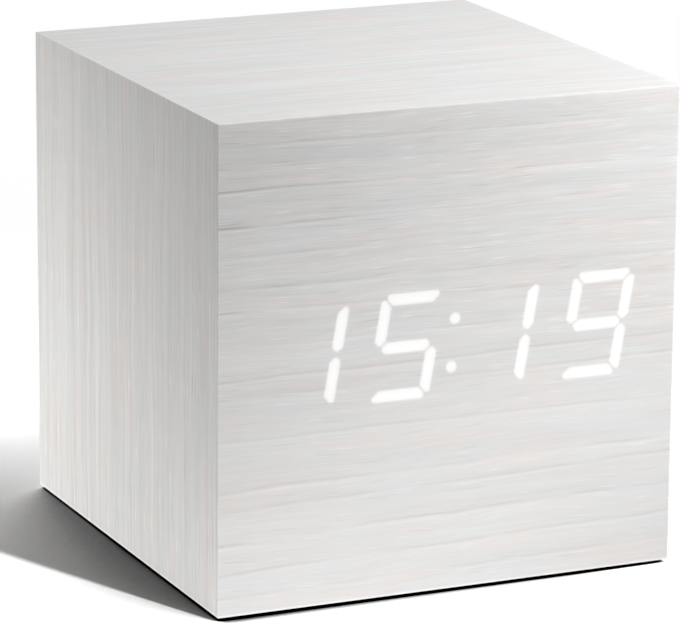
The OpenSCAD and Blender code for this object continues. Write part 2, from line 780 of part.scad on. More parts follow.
module key_board() color(green_colour) {
    at_controls() difference() {
        upright(key_board_back, pcb_t) square([key_board_w, key_board_h], center = true);
        for (way = [-1, 1])
            rod_y([way * boss_x, key_board_back - over, 0], screw_d + 2 * running, pcb_t + 2 * over);
    }
}

module key_board_screws() color(steel_colour) {
    for (way = [-1, 1]) translate([way * boss_x, key_board_back, control_z])
        rotate([90, 0, 0]) screw(pcb_t + screw_bite);
}

// A square body on the key board with a round nose in the panel's face
module dc_jack() color([0.08, 0.08, 0.085]) {
    at_controls() difference() {
        union() {
            upright(key_board_front, plate_in - jack_gap - key_board_front)
                translate([jack_x, 0]) square(jack_side, center = true);
            rod_y([jack_x, key_board_front, 0], jack_nose_d, panel_y - key_board_front);
        }
        rod_y([jack_x, panel_y - jack_depth, 0], jack_bore_d, jack_depth + over);
        rod_y([jack_x, key_board_front - over, 0], jack_pin_d, over + switch_h);
    }
}

module jack_pin() color(steel_colour) {
    tip = jack_pin_d / 2;
    l = panel_y - jack_pin_drop - key_board_front;
    at_controls() translate([jack_x, key_board_front, 0]) rotate([-90, 0, 0]) rotate_extrude()
        polygon([[0, 0], [tip, 0], [tip, l - tip / 2], [tip / 2, l], [0, l]]);
}

// A capsule against the panel's face, on two leads from the key board
module microphone() color(steel_colour) {
    capsule = plate_in - jack_gap - mic_h;
    at_controls() {
        rod_y([mic_x, capsule, 0], mic_d, mic_h);
        for (way = [-1, 1])
            rod_y([mic_x + way * mic_lead_step / 2, key_board_front, 0], mic_lead_d,
                capsule - key_board_front + mic_h / 2);
    }
}

// The battery bay

// A tray that opens downward, with round cradles for the cells, a rim in the step of the bottom panel and
// holes for the door's hinge pins
module battery_box() color(black_colour) {
    difference() {
        union() {
            translate([0, 0, base_z]) linear_extrude(bay_top - base_z)
                square([bay_x, bay_y], center = true);
            translate([0, 0, base_z]) linear_extrude(rim_t) rounded_rect(rim_x, rim_y, rim_r);
        }
        translate([0, 0, base_z - over]) linear_extrude(door_t + over)
            square([mouth_x, mouth_y], center = true);
        translate([0, 0, base_z]) linear_extrude(cell_z - base_z) square([bay_in_x, bay_in_y], center = true);
        for (i = [0:cell_count - 1])
            rod_x([-bay_in_x / 2, cell_y(i), cell_z], cell_d + 2 * cell_clear, bay_in_x);
        for (way = [-1, 1])
            translate([hinge_x, way * (mouth_y / 2 - over), hinge_z]) rotate([-90 * way, 0, 0])
                cylinder(d = hinge_d + 2 * running, h = hinge_l + over);
        at_corners(rim_screw_x, rim_screw_y) rim_screw_hole();
        for (t = terminals()) translate([contact_x(t[1]), cell_y(t[0]), cell_z])
            translate([-contact_t / 2 - running, -lug_w / 2 - running, 0])
                cube([contact_t + 2 * running, lug_w + 2 * running, bay_top - cell_z + over]);
        finger_scoop();
    }
}

module rim_screw_hole() {
    translate([0, 0, base_z - over]) cylinder(d = screw_head_d + 2 * running, h = screw_head_h + over);
    translate([0, 0, base_z]) cylinder(d = screw_d + 2 * running, h = rim_t + over);
}

// Room for a fingertip at the latch
module finger_scoop() {
    depth = door_t / 2;
    translate([mouth_x / 2, 0, base_z]) intersection() {
        cylinder(d = latch_w, h = 2 * depth, center = true);
        translate([-over, -latch_w, -over]) cube([rim_side / 2 + over, 2 * latch_w, depth + over]);
    }
}

module battery_box_screws() color(steel_colour) {
    at_corners(rim_screw_x, rim_screw_y) translate([0, 0, base_z + screw_head_h]) rotate([180, 0, 0])
        screw(rim_t - screw_head_h + screw_bite);
}

// The first cell's foot and the last cell's nub, each as [cell, end]
function terminals() = [[0, -cell_way(0)], [cell_count - 1, cell_way(cell_count - 1)]];

// A plate at each end of each cell, joined in pairs by a strip, and a lug on the two free ones
module battery_contacts() color([0.8, 0.79, 0.72]) {
    for (t = terminals()) {
        contact_plate(t[0], t[1]);
        translate([contact_x(t[1]) - contact_t / 2, cell_y(t[0]) - lug_w / 2, cell_z])
            cube([contact_t, lug_w, bay_top + lug_h - cell_z]);
    }
    for (i = [0:cell_count - 2]) {
        way = cell_way(i);
        contact_plate(i, way);
        contact_plate(i + 1, way);
        translate([contact_x(way) - contact_t / 2, cell_y(i), cell_z - contact_drop])
            cube([contact_t, cell_pitch, strip_h]);
    }
}

module contact_plate(i, way) {
    translate([contact_x(way) - contact_t / 2, cell_y(i) - contact_w / 2, cell_z - contact_drop])
        cube([contact_t, contact_w, contact_drop + contact_rise]);
}

// A tapered coil from a contact plate to the foot of each cell
SPRING_RINGS = 8;
SPRING_SIDES = 6;
function spring_path() = let (n = spring_turns * SPRING_RINGS, l = spring_l - spring_wire)
    [for (k = [0:n]) let (a = 360 * k / SPRING_RINGS,
            r = spring_foot_r + (spring_tip_r - spring_foot_r) * k / n)
        [spring_wire / 2 + l * k / n, r * cos(a), r * sin(a)]];
function least_gap(p, apart) = min([for (i = [0:len(p) - 1], j = [0:len(p) - 1])
    if (j >= i + apart) norm(p[i] - p[j])]);
echo(spring_least_gap = least_gap(spring_path(), SPRING_RINGS / 2) - spring_wire);

module battery_springs() color(steel_colour) {
    for (i = [0:cell_count - 1]) {
        way = -cell_way(i);
        translate([way * (bay_in_x / 2 - contact_t), cell_y(i), cell_z]) rotate(way > 0 ? 180 : 0)
            tube(spring_path(), spring_wire / 2, SPRING_SIDES, [1, 0, 0]);
    }
}

module batteries() color([0.72, 0.73, 0.74]) {
    edge = cell_d * 0.06;
    r = cell_d / 2;
    for (i = [0:cell_count - 1]) {
        way = cell_way(i);
        translate([way * (bay_in_x / 2 - contact_t), cell_y(i), cell_z]) rotate([0, -90 * way, 0])
            rotate_extrude() polygon([[0, 0], [nub_d / 2, 0], [nub_d / 2, nub_h], [r - edge, nub_h],
                [r, nub_h + edge], [r, cell_l - edge], [r - edge, cell_l], [0, cell_l]]);
    }
}

// A plate with a rounded end on two hinge pins and a latch tongue between two slits at the other end
module battery_door() color(black_colour) {
    tongue_x = door_x / 2 - latch_l;
    difference() {
        union() {
            translate([hinge_x, -door_y / 2, base_z]) cube([door_x / 2 - hinge_x, door_y, door_t]);
            translate([hinge_x, 0, hinge_z]) rotate([90, 0, 0])
                cylinder(d = door_t, h = door_y, center = true);
            translate([hinge_x, 0, hinge_z]) rotate([90, 0, 0])
                cylinder(d = hinge_d, h = door_y + 2 * (hinge_l - running), center = true);
        }
        for (way = [-1, 1])
            translate([tongue_x, way * latch_w / 2 - latch_slit / 2, base_z - over])
                cube([latch_l + over, latch_slit, door_t + 2 * over]);
        for (k = [0:3])
            translate([tongue_x + latch_l * (0.3 + 0.15 * k), 0, base_z]) rotate([90, 0, 0])
                cylinder(d = door_t / 3, h = latch_w * 0.7, center = true);
    }
}

// A lead from a terminal's lug, up and back to its pad on the key board
module battery_lead(t) {
    steps = 16;
    from = [contact_x(t[1]), cell_y(t[0]) + lug_w / 2 + lead_d / 2, bay_top + lead_d / 2];
    to = [t[1] * lead_pad.x, key_board_back - lead_gap, control_z + lead_pad.y];
    curve = [from, from + [0, 0, lead_slack], to - [0, lead_slack, 0], to];
    tube([for (k = [0:steps]) bezier(curve, k / steps)], lead_d / 2, 8, [1, 0, 0]);
}

module black_lead() color([0.08, 0.08, 0.08]) battery_lead(terminals()[0]);
module red_lead() color([0.65, 0.05, 0.05]) battery_lead(terminals()[1]);

wrap_film();
lit_film();
left_film();
right_film();
front_board();
back_board();
left_board();
right_board();
top_board();
bottom_board();
feet();
display_housing();
lit_segments();
dark_segments();
display_leds();
display_board();
board_spacers();
display_screws();
clock_chip();
crystal();
buzzer();
capacitors();
ribbon_sockets();
ribbon_cable();
control_panel();
panel_screws();
set_button();
down_button();
up_button();
set_plunger();
down_plunger();
up_plunger();
switch_bodies();
key_board();
key_board_screws();
dc_jack();
jack_pin();
microphone();
battery_box();
battery_box_screws();
battery_contacts();
battery_springs();
batteries();
battery_door();
black_lead();
red_lead();
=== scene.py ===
"""A white wood-grain cube clock that shows 15:19 through its film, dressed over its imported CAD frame.

The front faces -Y and +Z is up. Lengths below are millimetres, and MM turns them into scene units.
"""
import math

import bmesh
import bpy
from mathutils import Matrix, Vector
from mathutils.geometry import delaunay_2d_cdt


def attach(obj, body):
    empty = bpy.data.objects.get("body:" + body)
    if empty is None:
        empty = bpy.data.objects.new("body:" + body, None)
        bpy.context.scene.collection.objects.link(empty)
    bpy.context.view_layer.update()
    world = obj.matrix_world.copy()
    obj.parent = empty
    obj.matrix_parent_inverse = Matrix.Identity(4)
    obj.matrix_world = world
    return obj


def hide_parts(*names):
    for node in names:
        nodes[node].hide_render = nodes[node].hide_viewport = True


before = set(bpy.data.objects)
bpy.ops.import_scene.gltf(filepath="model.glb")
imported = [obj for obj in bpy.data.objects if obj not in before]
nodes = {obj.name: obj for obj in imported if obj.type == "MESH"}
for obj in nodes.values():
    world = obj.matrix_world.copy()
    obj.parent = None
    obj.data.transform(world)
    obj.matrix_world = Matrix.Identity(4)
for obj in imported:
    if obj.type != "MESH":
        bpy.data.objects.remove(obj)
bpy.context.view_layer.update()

MM = 0.001

# Sizes that repeat the part's source
CASE_W, CASE_D, BASE_Z, TOP_Z = 68.0, 68.0, 0.5, 68.0
FILM_T, EDGE_R = 0.3, 0.12
SHOWN = (1, 5, 1, 9)
DIGIT_W, DIGIT_H, DIGIT_PITCH = 9.6, 15.0, 14.2695
LEAN = math.tan(math.radians(9.8))
SEGMENT_W, SEGMENT_CHAMFER = 1.75, 0.9
COLON_D, COLON_SPACING, COLON_LEAN = 1.7, 6.7, math.tan(math.radians(4.2))
DISPLAY_X, DISPLAY_Z = 0.5, 35.5
CONTROL_W, CONTROL_H, CONTROL_Z = 46.0, 12.0, 34.5
RIM_X, RIM_Y, RIM_R, RIM_FIT = 56.3, 45.5, 2.0, 0.2
SEGMENT_CODES = {1: "bc", 5: "afgcd", 9: "abcdfg"}

# The film spreads the light: how round a lit segment's corners are, the gap left between two of them, and the
# glow at each distance in mm outside a mark's outline. The lit patches of film end at GLOW_SOFT.
GLOW_ROUND, GLOW_GAP, GLOW_SOFT = 0.55, 0.16, 0.07
GLOW_STEPS = ((0.28, 0.0), (0.16, 0.07), (GLOW_SOFT, 0.18), (0.0, 0.31), (-0.08, 0.51), (-0.18, 0.73),
              (-0.28, 0.88), (-0.45, 1.0))
# Each digit, and the colon, shows a little off its place (mm across, mm up)
SHOWN_OFF = ((0.06, -0.22), (-0.11, -0.14), (-0.26, 0.12), (0.0, 0.20))
COLON_OFF = (-0.18, -0.29)

# The UV map to bake into, with a band of it for what shows and one for what doesn't
BAKE_MAP, BAKE_SHOWN, BAKE_HIDDEN = "OFBake", (0.0, 0.92), (0.94, 1.0)


# Node trees

class Tree:
    """Short calls for building one material's nodes."""

    def __init__(self, name):
        self.material = bpy.data.materials.new(name)
        self.material.use_nodes = True
        self.nodes = self.material.node_tree.nodes
        self.links = self.material.node_tree.links
        self.bsdf = self.nodes["Principled BSDF"]
        self.output = self.nodes["Material Output"]

    def add(self, kind, **settings):
        node = self.nodes.new(kind)
        for key, value in settings.items():
            setattr(node, key, value)
        return node

    def put(self, socket, value):
        if isinstance(value, bpy.types.NodeSocket):
            self.links.new(value, socket)
        else:
            socket.default_value = value

    def math(self, operation, a, b=0.0, c=0.0, clamp=False):
        node = self.add("ShaderNodeMath", operation=operation, use_clamp=clamp)
        for socket, value in zip(node.inputs, (a, b, c)):
            self.put(socket, value)
        return node.outputs[0]

    def total(self, *values):
        sum_so_far = values[0]
        for value in values[1:]:
            sum_so_far = self.math("ADD", sum_so_far, value)
        return sum_so_far

    def remap(self, value, low, high, to_low=0.0, to_high=1.0, smooth=True):
        node = self.add("ShaderNodeMapRange", interpolation_type="SMOOTHSTEP" if smooth else "LINEAR")
        for socket, v in zip(node.inputs, (value, low, high, to_low, to_high)):
            self.put(socket, v)
        return node.outputs[0]

    def position(self):
        """Object coordinates in millimetres, as three sockets."""
        split = self.add("ShaderNodeSeparateXYZ")
        self.links.new(self.add("ShaderNodeTexCoord").outputs["Object"], split.inputs[0])
        return [self.math("DIVIDE", split.outputs[k], MM) for k in range(3)]

    def vector(self, x, y, z=0.0):
        node = self.add("ShaderNodeCombineXYZ")
        for socket, value in zip(node.inputs, (x, y, z)):
            self.put(socket, value)
        return node.outputs[0]

    def noise(self, vector, scale=1.0, detail=2.0, roughness=0.5):
        node = self.add("ShaderNodeTexNoise")
        self.put(node.inputs["Vector"], vector)
        node.inputs["Scale"].default_value = scale
        node.inputs["Detail"].default_value = detail
        node.inputs["Roughness"].default_value = roughness
        return node.outputs["Fac"]

    def mix(self, factor, a, b, blend="MIX"):
        """Two colours mixed. The Mix node's colour sockets are 6 and 7, and 2 on the way out."""
        node = self.add("ShaderNodeMix", data_type="RGBA", blend_type=blend)
        self.put(node.inputs["Factor"], factor)
        for socket, value in zip((node.inputs[6], node.inputs[7]), (a, b)):
            self.put(socket, value if isinstance(value, bpy.types.NodeSocket) else (*value, 1.0))
        return node.outputs[2]

    def grey(self, value):
        node = self.add("ShaderNodeCombineColor")
        for socket in node.inputs:
            self.put(socket, value)
        return node.outputs[0]

    def bump(self, height, strength, distance):
        node = self.add("ShaderNodeBump")
        node.inputs["Strength"].default_value = strength
        node.inputs["Distance"].default_value = distance * MM
        self.put(node.inputs["Height"], height)
        self.put(self.bsdf.inputs["Normal"], node.outputs[0])

    def finish(self, colour, roughness, metallic=0.0, specular=0.5):
        self.put(self.bsdf.inputs["Base Color"], colour)
        self.put(self.bsdf.inputs["Roughness"], roughness)
        self.put(self.bsdf.inputs["Metallic"], metallic)
        self.bsdf.inputs["Specular IOR Level"].default_value = specular
        return self.material


# The wood-grain film. Each vein of the front is (mm below the top, slope, waviness in mm, half width in mm,
# depth of tone at the left, depth of tone at the right).
FRONT_VEINS = (
    (3.4, 0.012, 0.35, 0.24, 0.210, 0.070), (6.4, 0.010, 0.30, 0.22, 0.150, 0.045),
    (9.3, 0.008, 0.45, 0.25, 0.230, 0.075), (13.9, -0.004, 0.30, 0.26, 0.300, 0.050),
    (18.0, 0.002, 0.40, 0.25, 0.210, 0.070), (22.6, 0.006, 0.40, 0.24, 0.115, 0.055),
    (25.8, 0.010, 0.35, 0.26, 0.125, 0.070), (30.4, 0.004, 0.30, 0.26, 0.085, 0.080),
    (34.6, -0.006, 0.50, 0.28, 0.110, 0.090), (37.3, 0.000, 0.40, 0.28, 0.090, 0.105),
    (43.2, 0.006, 0.50, 0.28, 0.060, 0.075), (49.6, -0.012, 0.75, 0.32, 0.105, 0.115),
    (52.2, -0.016, 0.60, 0.28, 0.060, 0.085), (56.6, -0.022, 0.85, 0.32, 0.125, 0.100),
    (60.8, -0.020, 0.60, 0.30, 0.100, 0.075), (64.4, -0.012, 0.40, 0.28, 0.070, 0.060),
)
FRONT_HUE, SIDE_HUE, FLAT_HUE = (0.800, 0.796, 0.783), (0.808, 0.797, 0.776), (0.797, 0.796, 0.788)
PINK, COOL, WHITE = (1.014, 0.988, 0.986), (0.990, 1.004, 1.008), (1.0, 1.0, 1.0, 1.0)
CASE_MIDDLE = (0.0, 0.0, (BASE_Z + TOP_Z) / 2)
CASE_HALF = (CASE_W / 2, CASE_D / 2, (TOP_Z - BASE_Z) / 2)

# Streaks of the grain: length mm, width mm, noise detail, and a shift that keeps one kind off the next
BROAD, MEDIUM, FINE = (70.0, 5.5, 1.0, 3.0), (34.0, 1.1, 2.0, 17.0), (11.0, 0.30, 1.0, 41.0)
HAIR, TICK = (4.5, 0.17, 0.0, 73.0), (7.0, 0.22, 0.0, 97.0)
TINT, BREAK = (18.0, 3.4, 1.0, 171.0), (12.0, 4.0, 1.0, 151.0)
SWAY, SWAY_L, SWAY_W = 2.4, 26.0, 13.0
# Levels of the noise between which fibres, ticks, pink tints and the unbroken parts of veins come in, and between
# which the roughness swings
FIBRE_AT, TICK_AT, PINK_AT, BREAK_AT, ROUGH_AT = (0.66, 0.80), (0.66, 0.84), (0.36, 0.64), (0.34, 0.60), (0.3, 0.7)
STREAK_ROUGHNESS, BREAK_LEAST = 0.55, 0.15
# Heights in the relief, where ticks and veins go in
FIBRE_RISE, TICK_RISE, FINE_RISE, MEDIUM_RISE, VEIN_SINK = 0.5, -0.9, 0.5, 0.4, 0.6
# Tone of a fibre or tick, and the painted highlight that lifts the tone along the rounded edges and just above the
# floor
MARK_TONE, EDGE_HIGHLIGHT, FOOT_HIGHLIGHT = 0.16, 0.12, 0.19
EDGE_HIGHLIGHT_BAND, FOOT_HIGHLIGHT_BAND = (0.35, 0.05), (0.45, 0.15)
# A vein drifts up and down, is deepest at the left, and has a pale line under it and a soft flank over it
DRIFT_L, DRIFT_APART, DEEP_X, SHALLOW_X = 19.0, 7.3, -CASE_W / 2 - 2.0, -8.0
PALE_OFF, PALE_SHARE, FLANK_W, FLANK_EDGE, FLANK_SHARE = 1.7, 0.5, 2.2, 0.15, 0.3
VEIN_PINK = 0.5
# Where there are veins, the grain between them is calmer low down
CALM_Z, LIVELY_Z, CALM_SHARE = 22.0, 46.0, 0.58
PORE_DEPTH, ROUGHNESS_SWING = 0.05, 0.05
# Share of the film's own colour that gives way where light comes through
LIT_DIMS = 0.5


def film_material(name, along, across, hue, swings, marks, run=1.0, veins=(), glow=0.0, specular=0.3,
                  roughness=0.57):
    """White printed film. along and across are the axes of the grain, 0 to 2. swings are the tone swings of its
    broad, medium, fine and hair streaks, run is how far they run, marks is the strength of its fibres and ticks,
    and glow is the strength of the light that comes through it."""
    t = Tree(name)
    place = t.position()
    a, c = place[along], place[across]
    d = place[3 - along - across]
    sway = t.noise(t.vector(t.math("DIVIDE", a, SWAY_L), t.math("DIVIDE", c, SWAY_W), d), detail=1.0)
    c = t.math("MULTIPLY_ADD", t.math("SUBTRACT", sway, 0.5), SWAY, c)

    def streaks(length, width, detail, shift, stretch=1.0):
        spot = t.vector(t.math("DIVIDE", a, length * stretch), t.math("MULTIPLY_ADD", c, 1.0 / width, shift), d)
        return t.noise(spot, detail=detail, roughness=STREAK_ROUGHNESS)

    broad, medium, fine = (streaks(*kind, run) for kind in (BROAD, MEDIUM, FINE))
    hair = streaks(*HAIR)
    fibres = t.remap(hair, *FIBRE_AT)
    ticks = t.remap(streaks(*TICK), *TICK_AT)
    # Painted highlight: the tone is lifted near the edges of the case and just above the floor, where the rounded
    # edges catch light
    edge_highlight = [t.remap(t.math("ABSOLUTE", t.math("SUBTRACT", place[k], CASE_MIDDLE[k])), CASE_HALF[k] - EDGE_HIGHLIGHT_BAND[0],
                    CASE_HALF[k] - EDGE_HIGHLIGHT_BAND[1], 0.0, EDGE_HIGHLIGHT) for k in (along, across)]
    foot_highlight = t.remap(place[2], BASE_Z + FOOT_HIGHLIGHT_BAND[0], BASE_Z + FOOT_HIGHLIGHT_BAND[1], 0.0, FOOT_HIGHLIGHT)
    grain = t.total(t.math("MULTIPLY", fibres, MARK_TONE * marks), t.math("MULTIPLY", ticks, -MARK_TONE * marks),
                    *(t.math("MULTIPLY", t.math("SUBTRACT", value, 0.5), amount)
                      for value, amount in zip((broad, medium, fine, hair), swings)))
    pink = t.remap(streaks(*TINT), *PINK_AT)
    pores = t.total(t.math("MULTIPLY", fibres, FIBRE_RISE), t.math("MULTIPLY", ticks, TICK_RISE),
                    t.math("MULTIPLY", fine, FINE_RISE), t.math("MULTIPLY", medium, MEDIUM_RISE))
    if veins:
        calm = t.remap(place[across], CALM_Z, LIVELY_Z, CALM_SHARE, 1.0)
        grain, pores = t.math("MULTIPLY", grain, calm), t.math("MULTIPLY", pores, calm)
    tone = t.total(1.0, t.math("MAXIMUM", foot_highlight, t.math("MAXIMUM", *edge_highlight)), grain)
    if veins:
        left_share = t.remap(a, DEEP_X, SHALLOW_X, 1.0, 0.0)
        break_up = t.remap(streaks(*BREAK), *BREAK_AT, BREAK_LEAST, 1.0)
        rows = [t.vector(t.math("DIVIDE", a, DRIFT_L), DRIFT_APART * k) for k in range(3)]
        drifts = [t.math("SUBTRACT", t.noise(row, detail=2.0), 0.5) for row in rows]
        for k, (drop, slope, wave, half, left, right) in enumerate(veins):
            line = t.total(TOP_Z - drop, t.math("MULTIPLY", a, -slope),
                           t.math("MULTIPLY", drifts[k % 3], 2 * wave))
            away = t.math("SUBTRACT", place[across], line)
            dark = t.remap(t.math("ABSOLUTE", away), half, 0.0)
            pale = t.remap(t.math("ABSOLUTE", t.math("ADD", away, PALE_OFF * half)), half, 0.0)
            flank = t.math("MULTIPLY", t.remap(away, FLANK_W, 0.0), t.remap(away, -FLANK_EDGE, FLANK_EDGE))
            whole = t.total(dark, t.math("MULTIPLY", pale, -PALE_SHARE), t.math("MULTIPLY", flank, FLANK_SHARE))
            mask = t.math("MULTIPLY", whole, break_up)
            depth = t.math("MULTIPLY_ADD", left_share, left - right, right)
            tone = t.math("SUBTRACT", tone, t.math("MULTIPLY", mask, depth))
            pores = t.math("SUBTRACT", pores, t.math("MULTIPLY", mask, VEIN_SINK))
            pink = t.math("ADD", pink, t.math("MULTIPLY", dark, VEIN_PINK), clamp=True)
    tint = t.mix(pink, COOL, PINK)
    colour = t.mix(1.0, t.mix(1.0, hue, tint, "MULTIPLY"), t.grey(tone), "MULTIPLY")
    t.bump(pores, PORE_DEPTH * marks, PORE_DEPTH)
    if glow:
        lit = t.add("ShaderNodeAttribute", attribute_name="glow").outputs["Fac"]
        colour = t.mix(t.math("MULTIPLY", lit, LIT_DIMS), colour, (0.0, 0.0, 0.0))
        t.bsdf.inputs["Emission Color"].default_value = WHITE
        t.put(t.bsdf.inputs["Emission Strength"], t.math("MULTIPLY", lit, glow))
    rough = t.remap(medium, *ROUGH_AT, roughness - ROUGHNESS_SWING, roughness + ROUGHNESS_SWING)
    return t.finish(colour, rough, specular=specular)


# The case

def loop_inside(point, loop):
    inside = False
    for (ax, ay), (bx, by) in zip(loop, loop[1:] + loop[:1]):
        if (ay > point[1]) != (by > point[1]) and point[0] < (bx - ax) * (point[1] - ay) / (by - ay) + ax:
            inside = not inside
    return inside


def make_object(name, bm, material, body, smooth_angle=None):
    mesh = bpy.data.meshes.new(name)
    bm.to_mesh(mesh)
    bm.free()
    mesh.materials.append(material)
    made = bpy.data.objects.new(name, mesh)
    bpy.context.scene.collection.objects.link(made)
    if smooth_angle is not None:
        mesh.shade_smooth()
        mesh.set_sharp_from_angle(angle=math.radians(smooth_angle))
    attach(made, body)
    return made


ARC_STEPS, SMOOTH_ANGLE = 4, 30
# delaunay_2d_cdt's way of keeping only what lies inside the loops, and the distance at which points are one
CUT_INSIDE, CUT_NEAR = 1, 1e-6


def skin(name, material, middle, u_axis, v_axis, half_u, half_v, holes=()):
    """A sheet of film on one side of the case: flat, with rounded edges that end in a mitre at 45 degrees.
    u x v points out of the case. holes are loops of (u, v) points."""
    middle, u_axis, v_axis = Vector(middle), Vector(u_axis), Vector(v_axis)
    out = u_axis.cross(v_axis)
    bm = bmesh.new()
    bake = bm.loops.layers.uv.new(BAKE_MAP)

    def vertex(u, v, depth):
        return bm.verts.new((middle + u_axis * u + v_axis * v - out * depth) * MM)

    angles = [math.tan(math.pi / 4 * k / ARC_STEPS) for k in range(ARC_STEPS + 1)]
    flat_u, flat_v = half_u - EDGE_R, half_v - EDGE_R

    def lines(flat):
        return [(-flat, -s) for s in reversed(angles)] + [(flat, s) for s in angles]

    grid = []
    for base_u, su in lines(flat_u):
        row = []
        for base_v, sv in lines(flat_v):
            n = Vector((su, sv, 1.0)).normalized() * EDGE_R
            row.append(vertex(base_u + n.x, base_v + n.y, EDGE_R - n.z))
        grid.append(row)
    last, core = len(grid) - 1, ARC_STEPS
    outer, hidden = [], []
    for i in range(last):
        for j in range(last):
            if (i, j) != (core, core) or not holes:
                outer.append(bm.faces.new((grid[i][j], grid[i + 1][j], grid[i + 1][j + 1], grid[i][j + 1])))
    corners = [(-flat_u, -flat_v), (flat_u, -flat_v), (flat_u, flat_v), (-flat_u, flat_v)]
    inner = [vertex(su * (half_u - FILM_T), sv * (half_v - FILM_T), FILM_T)
             for su, sv in ((-1, -1), (1, -1), (1, 1), (-1, 1))]
    if not holes:
        hidden.append(bm.faces.new(inner[::-1]))
    else:
        top = [grid[core][core], grid[core + 1][core], grid[core + 1][core + 1], grid[core][core + 1]]
        under = list(inner)
        points, edges = list(corners), [(0, 1), (1, 2), (2, 3), (3, 0)]
        for hole in holes:
            first = len(points)
            points += hole
            edges += [(first + k, first + (k + 1) % len(hole)) for k in range(len(hole))]
            top += [vertex(u, v, 0.0) for u, v in hole]
            under += [vertex(u, v, FILM_T) for u, v in hole]
            for k in range(len(hole)):
                a, b = first + k, first + (k + 1) % len(hole)
                hidden.append(bm.faces.new((top[b], top[a], under[a], under[b])))
        spots, _, faces, origins, _, _ = delaunay_2d_cdt([Vector(p) for p in points], edges, [], CUT_INSIDE,
                                                         CUT_NEAR)
        for face in faces:
            centre = sum((spots[k] for k in face), Vector((0.0, 0.0))) / len(face)
            if any(loop_inside(centre, hole) for hole in holes):
                continue
            at = [origins[k][0] for k in face]
            outer.append(bm.faces.new([top[k] for k in at]))
            hidden.append(bm.faces.new([under[k] for k in reversed(at)]))
    rim = ([(i, 0) for i in range(last)] + [(last, j) for j in range(last)]
           + [(i, last) for i in range(last, 0, -1)] + [(0, j) for j in range(last, 0, -1)])

    def corner_of(i, j):
        return inner[(0 if j <= core else 3) if i <= core else (1 if j <= core else 2)]

    for p, q in zip(rim, rim[1:] + rim[:1]):
        ends = [grid[q[0]][q[1]], grid[p[0]][p[1]], corner_of(*p)]
        if corner_of(*p) != corner_of(*q):
            ends.append(corner_of(*q))
        hidden.append(bm.faces.new(ends))
    bmesh.ops.recalc_face_normals(bm, faces=bm.faces)
    for faces, (low, high) in ((outer, BAKE_SHOWN), (hidden, BAKE_HIDDEN)):
        for face in faces:
            for loop in face.loops:
                at = loop.vert.co / MM - middle
                loop[bake].uv = (0.5 + at.dot(u_axis) / (2 * half_u),
                                 low + (high - low) * (0.5 + at.dot(v_axis) / (2 * half_v)))
    made = make_object(name, bm, material, "case", SMOOTH_ANGLE)
    return made


def stadium(width, height, steps=24):
    r, straight = height / 2, (width - height) / 2
    return [(side * straight + r * math.cos(t), r * math.sin(t))
            for side, start in ((1, -math.pi / 2), (-1, math.pi / 2))
            for t in (start + math.pi * k / steps for k in range(steps + 1))]


def rounded_rect(width, height, r, steps=6):
    return [(sx * (width / 2 - r) + r * math.cos(t), sy * (height / 2 - r) + r * math.sin(t))
            for sx, sy, start in ((1, 1, 0.0), (-1, 1, 0.5), (-1, -1, 1.0), (1, -1, 1.5))
            for t in (math.pi * (start + 0.5 * k / steps) for k in range(steps + 1))]


# Outlines of the lit segments, as the part's source draws them

def flipped(points, x, y):
    turned = [(px * x, py * y) for px, py in points]
    return turned[::-1] if x * y < 0 else turned


def segment_outlines():
    w, c, s = SEGMENT_W, SEGMENT_CHAMFER, GLOW_GAP / math.sqrt(2)
    x, y = DIGIT_W / 2 - s, DIGIT_H / 2
    a = [(-x + c, y), (-x + c / 2, y - c / 2), (-x + w, y - w),
         (x - w, y - w), (x - c / 2, y - c / 2), (x - c, y)]
    x, y = DIGIT_W / 2, DIGIT_H / 2 - s
    b = [(x, y - c), (x - c / 2, y - c / 2), (x - w, y - w),
         (x - w, s + w / 2), (x - w / 2, s), (x, s + w / 2)]
    x = DIGIT_W / 2 - w / 2 - s
    g = [(x, 0), (x - w / 2, w / 2), (-x + w / 2, w / 2),
         (-x, 0), (-x + w / 2, -w / 2), (x - w / 2, -w / 2)]
    return {"a": a, "b": b, "c": flipped(b, 1, -1), "d": flipped(a, 1, -1), "e": flipped(b, -1, -1),
            "f": flipped(b, -1, 1), "g": g}


LEAST_SIDE = 1e-4


def shrunk(points, r):
    """A convex loop moved inward by r, as the loop cut by its own moved sides."""
    kept = [Vector(p) for p in points]
    for p, q in zip(points, points[1:] + points[:1]):
        along = (Vector(q) - Vector(p)).normalized()
        inward = Vector((-along.y, along.x))
        level = inward.dot(Vector(p)) + r
        cut = []
        for m, n in zip(kept, kept[1:] + kept[:1]):
            dm, dn = inward.dot(m) - level, inward.dot(n) - level
            if dm >= 0:
                cut.append(m)
            if (dm < 0) != (dn < 0):
                cut.append(m + (n - m) * (dm / (dm - dn)))
        kept = cut
    spaced = []
    for p in kept:
        if not spaced or (p - spaced[-1]).length > LEAST_SIDE:
            spaced.append(p)
    return spaced if (spaced[0] - spaced[-1]).length > LEAST_SIDE else spaced[:-1]


def around(middle, r, angle):
    return middle.x + r * math.cos(angle), middle.y + r * math.sin(angle)


def swollen(points, r, step=15.0):
    """A convex loop with a round band of width r added all round it, or a circle round a single point. The count
    of points doesn't depend on r."""
    if len(points) == 1:
        return [around(points[0], r, math.radians(k * step)) for k in range(int(360 / step))]
    grown = []
    for k, p in enumerate(points):
        before, after = p - points[k - 1], points[(k + 1) % len(points)] - p
        start = math.atan2(-before.x, before.y)
        turn = (math.atan2(-after.x, after.y) - start) % (2 * math.pi)
        parts = max(1, math.ceil(math.degrees(turn) / step))
        grown += [around(p, r, start + turn * i / parts) for i in range(parts + 1)]
    return grown


